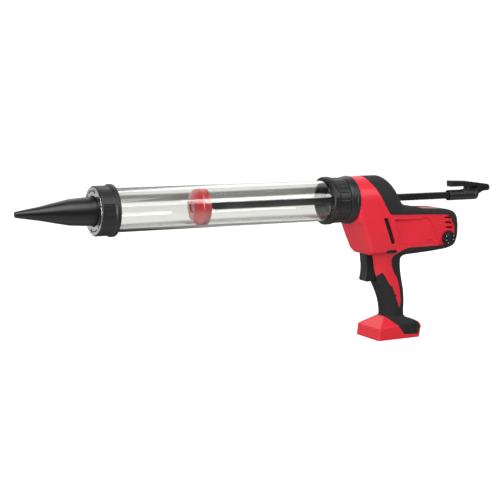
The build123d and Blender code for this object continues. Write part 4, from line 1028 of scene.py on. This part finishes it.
HOOK_TOP = Outline([
    (-104.2, 225.8, 1.0), (-134.0, 224.6, 25), (-176.0, 219.0, 3), (-179.8, 216.2, 2.5),
    (-179.4, 209.6, 3), (-166.0, 208.6, 8), (-157.0, 204.0, 1), (-129.0, 204.0, 1), (-130.0, 211.6, 1),
    (-136.6, 212.4, 1.5), (-136.6, 215.6, 1.5), (-131.0, 216.7, 2), (-105.0, 216.7, 1.0),
], step=0.2, margin=8.0)
HOOK_POCKET = Outline([
    (-142, 217.6, 1.2), (-157, 217.0, 1.2), (-152, 211.6, 1.2), (-142, 211.6, 1.2),
], step=0.2, margin=8.0)
SLEEVE_Z = 203.9
SLEEVE_R = 7.8


def hook_field(x, y, z):
    """Round sleeve on the rod, with the hook's web, prong and nub above it."""
    across = np.abs(y)
    from_axis = np.sqrt(y ** 2 + (z - SLEEVE_Z) ** 2)
    sleeve = both(both(from_axis - SLEEVE_R, x + 102.8, 0.8), -157.8 - x, 4.5)
    half = np.interp(x, (-180, -150, -100), (4.8, 6.2, 6.2)).astype(np.float32)
    top = both(HOOK_TOP(x, z), across - half, 1.6)
    solid = either(sleeve, top, 1.2)
    pocket = overlap(HOOK_POCKET(x, z), 2.2 - across)
    mouth = overlap(from_axis - 6.9, -106.0 - x)
    solid = both(solid, -union(pocket, mouth), 0.5)
    socket = overlap(across - 4.62, np.abs(z - ROD_Z) - 4.98, -158.1 - x)
    pin = np.sqrt((x + 150) ** 2 + (z - 205.5) ** 2) - 1.6
    return both(solid, -union(socket, pin), 0.35)


TRIGGER_SIDE = Outline([
    (27.5, 125.4, 0), (27.5, 89.0, 2), (35.0, 85.4, 3), (45.0, 84.4, 3.5), (49.1, 87.0, 2.5),
    (46.6, 98.0, 22), (46.4, 108.0, 22), (48.8, 125.4, 0),
], step=0.2, margin=8.0)
TRIGGER_PLAN = Outline([(27, -9, 0), (51.5, -9, 6.5), (51.5, 9, 6.5), (27, 9, 0)], step=0.2, margin=8.0)


def trigger_field(x, y, z):
    """Trigger lever with a finger hollow, stepped sides, and a pocket and post for its spring."""
    lean = np.interp(z, (85, 98, 108, 122), (0.4, 2.4, 2.6, 0.6)).astype(np.float32)
    solid = both(TRIGGER_SIDE(x, z), TRIGGER_PLAN(x + lean, y), 1.0)
    step = overlap(slab(z, 84, 117.5), 8.55 - np.abs(y), 33.5 - x)
    from_post = np.sqrt(y ** 2 + (z - 106.0) ** 2)
    pocket = overlap(from_post - 4.9, 2.5 - from_post, x - 36.0)
    post = overlap(from_post - 2.5, slab(x, 20.5, 36.0))
    return union(both(both(solid, -step, 0.3), -pocket, 0.3), post)


def dial_field(x, y, z):
    """Speed dial: toothed skirt, raised face, finger grip with a pointer groove, and its stem."""
    dx, dz = x - DIAL_X, z - DIAL_Z
    reach = np.sqrt(dx ** 2 + dz ** 2)
    sector = 2 * math.pi / 20
    angle = np.arctan2(dz, dx)
    off = angle - sector * np.round(angle / sector)
    tooth = np.sqrt((reach * np.cos(off) - 11.1) ** 2 + (reach * np.sin(off)) ** 2) - 0.95
    skirt = both(both(reach - DIAL_R, slab(y, 30.2, 34.6), 0.8), -tooth, 0.3)
    face = both(reach - 8.6, slab(y, 34.0, 35.6), 0.5)
    turn = math.radians(60)
    u = dx * math.cos(turn) + dz * math.sin(turn)
    w = dz * math.cos(turn) - dx * math.sin(turn)
    grip = round_box(u, y, w, (0, 34.0, 0), (7.8, 3.6, 2.1), 1.2)
    stem = overlap(reach - 2.6, slab(y, 24.3, 31))
    knob = either(union(skirt, face), grip, 0.6)
    pointer = round_box(u, y, w, (5.0, 37.6, 0), (2.2, 0.5, 0.5), 0.2)
    return union(both(knob, -pointer, 0.15), stem)


def tick_field(x, y, z):
    """Pale scale marks on the dial's face."""
    dx, dz = x - DIAL_X, z - DIAL_Z
    reach = np.sqrt(dx ** 2 + dz ** 2)
    angle = np.arctan2(dz, dx)
    marks = []
    for index in range(6):
        at = math.radians(150 + 48 * index)
        off = (angle - at + math.pi) % (2 * math.pi) - math.pi
        marks.append(overlap(np.abs(reach - 7.2) - 0.9, np.abs(reach * off) - 0.32))
    return both(union(*marks), slab(y, 35.2, 35.85), 0.1)


LOCK_Z = 129.2


def lock_field(x, y, z):
    """Cross-bolt lock with three grip slots in each end."""
    bar = round_box(x, y, z, (17.0, 0, LOCK_Z), (8.5, 28.6, 2.3), 1.1)
    for ridge_x in (13.0, 17.0, 21.0):
        slot = overlap(np.abs(x - ridge_x) - 0.6, 28.1 - np.abs(y), np.abs(z - LOCK_Z) - 1.6)
        bar = both(bar, -slot, 0.2)
    return bar


def screw_head(x, y, z):
    """Piston screw: domed head with a cross recess, and its shank."""
    reach = radius(y, z)
    across, above = np.abs(y), np.abs(z - BARREL_Z)
    dome = both(np.sqrt((x - 311.0) ** 2 + reach ** 2) - 10.6, overlap(reach - 6.4, 319.0 - x), 0.4)
    cross = union(overlap(across - 0.75, above - 3.2), overlap(above - 0.75, across - 3.2))
    dome = both(dome, -overlap(cross, 319.9 - x), 0.15)
    return union(dome, overlap(reach - 2.5, slab(x, 291.0, 319.2)))


def make_barrel():
    wall = turned("barrel_wall", [
        (94.0, 25.5, 0.3), (94.0, 28.5, 0.3), (453.0, 28.5, 0.3), (453.0, 25.5, 0.3),
    ], "clear_tube", "barrel", ["barrel_tube"], segments=192)
    wall.visible_shadow = False
    turned("nozzle_cone", [
        (NOZZLE_TIP_X - 0.2, 1.6, 0.3), (NOZZLE_TIP_X, 3.7, 1.3), (530.0, 9.1, 120), (510.0, 13.3, 60),
        (492.0, 16.8, 60), (471.0, 18.2, 90), (457.0, 18.4, 2.0), (455.1, 18.5, 0.1),
        (455.1, 27.0, 0.2), (453.3, 27.0, 0.2), (453.3, 16.3, 0.2), (471.0, 15.6, 20), (491.0, 14.0, 20),
        (509.0, 10.2, 20), (546.0, 1.6, 0.5),
    ], "nozzle_black", "nozzle_body", ["nozzle"])
    carved("ring", ring_field, (433.6, -35.4, 168.6), (461.4, 35.4, 239.4), "black_plastic", "ring_body",
           ["front_ring"])
    land = carved("ring_land", face_field, (459, -31.2, 172.8), (461.4, 31.2, 235.2), "black_plastic",
                  "ring_body")
    paint(land, "ring_land")
    carved("ring_marks", mark_field, (459, -30.2, 173.8), (461.8, 30.2, 234.2), "black_plastic",
           "ring_body")
    carved("collar", collar_field, (88.2, -34.6, 169.4), (118.4, 34.6, 238.6), "black_plastic", "barrel",
           ["locking_collar"])
    socket = turned("socket", [
        (70.0, 8.8, 0.2), (70.0, 26.0, 0.5), (74.4, 26.0, 0.3), (74.4, 23.5, 0.2), (89.0, 23.5, 0.2),
        (89.0, 27.0, 0.3), (93.9, 27.0, 0.3), (93.9, 25.4, 0.2), (99.0, 25.4, 0.6), (99.0, 23.6, 0.4),
        (97.2, 23.2, 0.3), (97.2, 21.6, 0.3), (99.0, 21.2, 0.4), (99.0, 19.6, 0.4), (97.0, 19.0, 0.3),
        (97.0, 17.0, 0.3), (98.6, 16.6, 0.4), (98.6, 14.8, 0.4), (97.0, 14.2, 0.3), (97.0, 13.0, 0.3),
        (100.5, 12.5, 0.5), (100.5, 11.4, 0.5), (98.6, 11.0, 0.3), (98.6, 8.8, 0.3),
    ], "black_plastic", "barrel", ["swivel_socket"])
    paint(socket, "satin_black")
    turned("bezel", [
        (75.1, 23.7, 0.2), (75.1, 33.7, 0.5), (77.5, 34.2, 1.0), (79.4, 33.9, 0.4), (79.9, 33.3, 0.2),
        (80.6, 33.7, 0.3), (84.0, 33.2, 1.5), (88.5, 31.7, 0.9), (88.5, 23.7, 0.2),
    ], "black_plastic", "housing", ["bezel_ring"])


def make_rod_end():
    turned("piston_disc", [
        (304.4, 9.15, 0.2), (304.4, 24.7, 0.6), (305.4, 25.15, 0.5), (307.4, 25.15, 0.2),
        (307.9, 24.3, 0.2), (309.4, 24.3, 0.2), (309.9, 25.15, 0.2), (314.6, 25.15, 0.8),
        (315.8, 24.2, 1.5), (319.6, 16.0, 6), (321.9, 7.4, 0.8), (321.2, 6.9, 0.3), (319.0, 6.9, 0.2),
        (319.0, 9.15, 0.2),
    ], "red_clear", "rod", ["piston"])
    turned("piston_boss", [
        (303.6, 2.6, 0.1), (303.6, 8.2, 0.3), (304.4, 9.0, 0.2), (318.8, 9.0, 0.3), (318.8, 2.6, 0.2),
    ], "red_hub", "rod", ["piston_hub"])
    carved("piston_bolt", screw_head, (290, -7.2, 196.8), (322.4, 7.2, 211.2), "steel", "rod",
           ["piston_screw"], step=FINE * 0.7)
    carved("hook", hook_field, (-183, -8.4, 195.2), (-102, 8.4, 226.4), "black_plastic", "rod",
           ["hook_handle"])


def make_controls():
    carved("trigger_lever", trigger_field, (20.0, -9.6, 83.6), (51.2, 9.6, 126.2), "black_plastic",
           "trigger_body", ["trigger"])
    carved("speed_knob", dial_field, (-93.4, 23.8, 132.6), (-70.6, 38.4, 155.4), "black_plastic",
           "dial_body", ["dial_knob"], step=FINE * 0.8)
    carved("speed_marks", tick_field, (-90.8, 35.0, 135.2), (-73.2, 36.2, 152.8), "white_plastic",
           "dial_body", step=FINE * 0.5)
    carved("lock_bar", lock_field, (8.0, -29.2, 126.4), (26.0, 29.2, 132.0), "black_plastic", "lock_body",
           ["lock_button"])


def round_edges():
    """Small bevels on the CAD pieces that stay in use."""
    for name in (
        "rack_rod", "handle_pin", "housing_screws", "terminal_block", "output_shaft", "cross_shaft",
    ):
        bevel = frame["nodes"][name].modifiers.new("edges", "BEVEL")
        bevel.width = 0.25 * MM
        bevel.segments = 2
        bevel.limit_method = "ANGLE"
        bevel.angle_limit = math.radians(40)
        bevel.harden_normals = False


make_barrel()
make_rod_end()
make_controls()
round_edges()
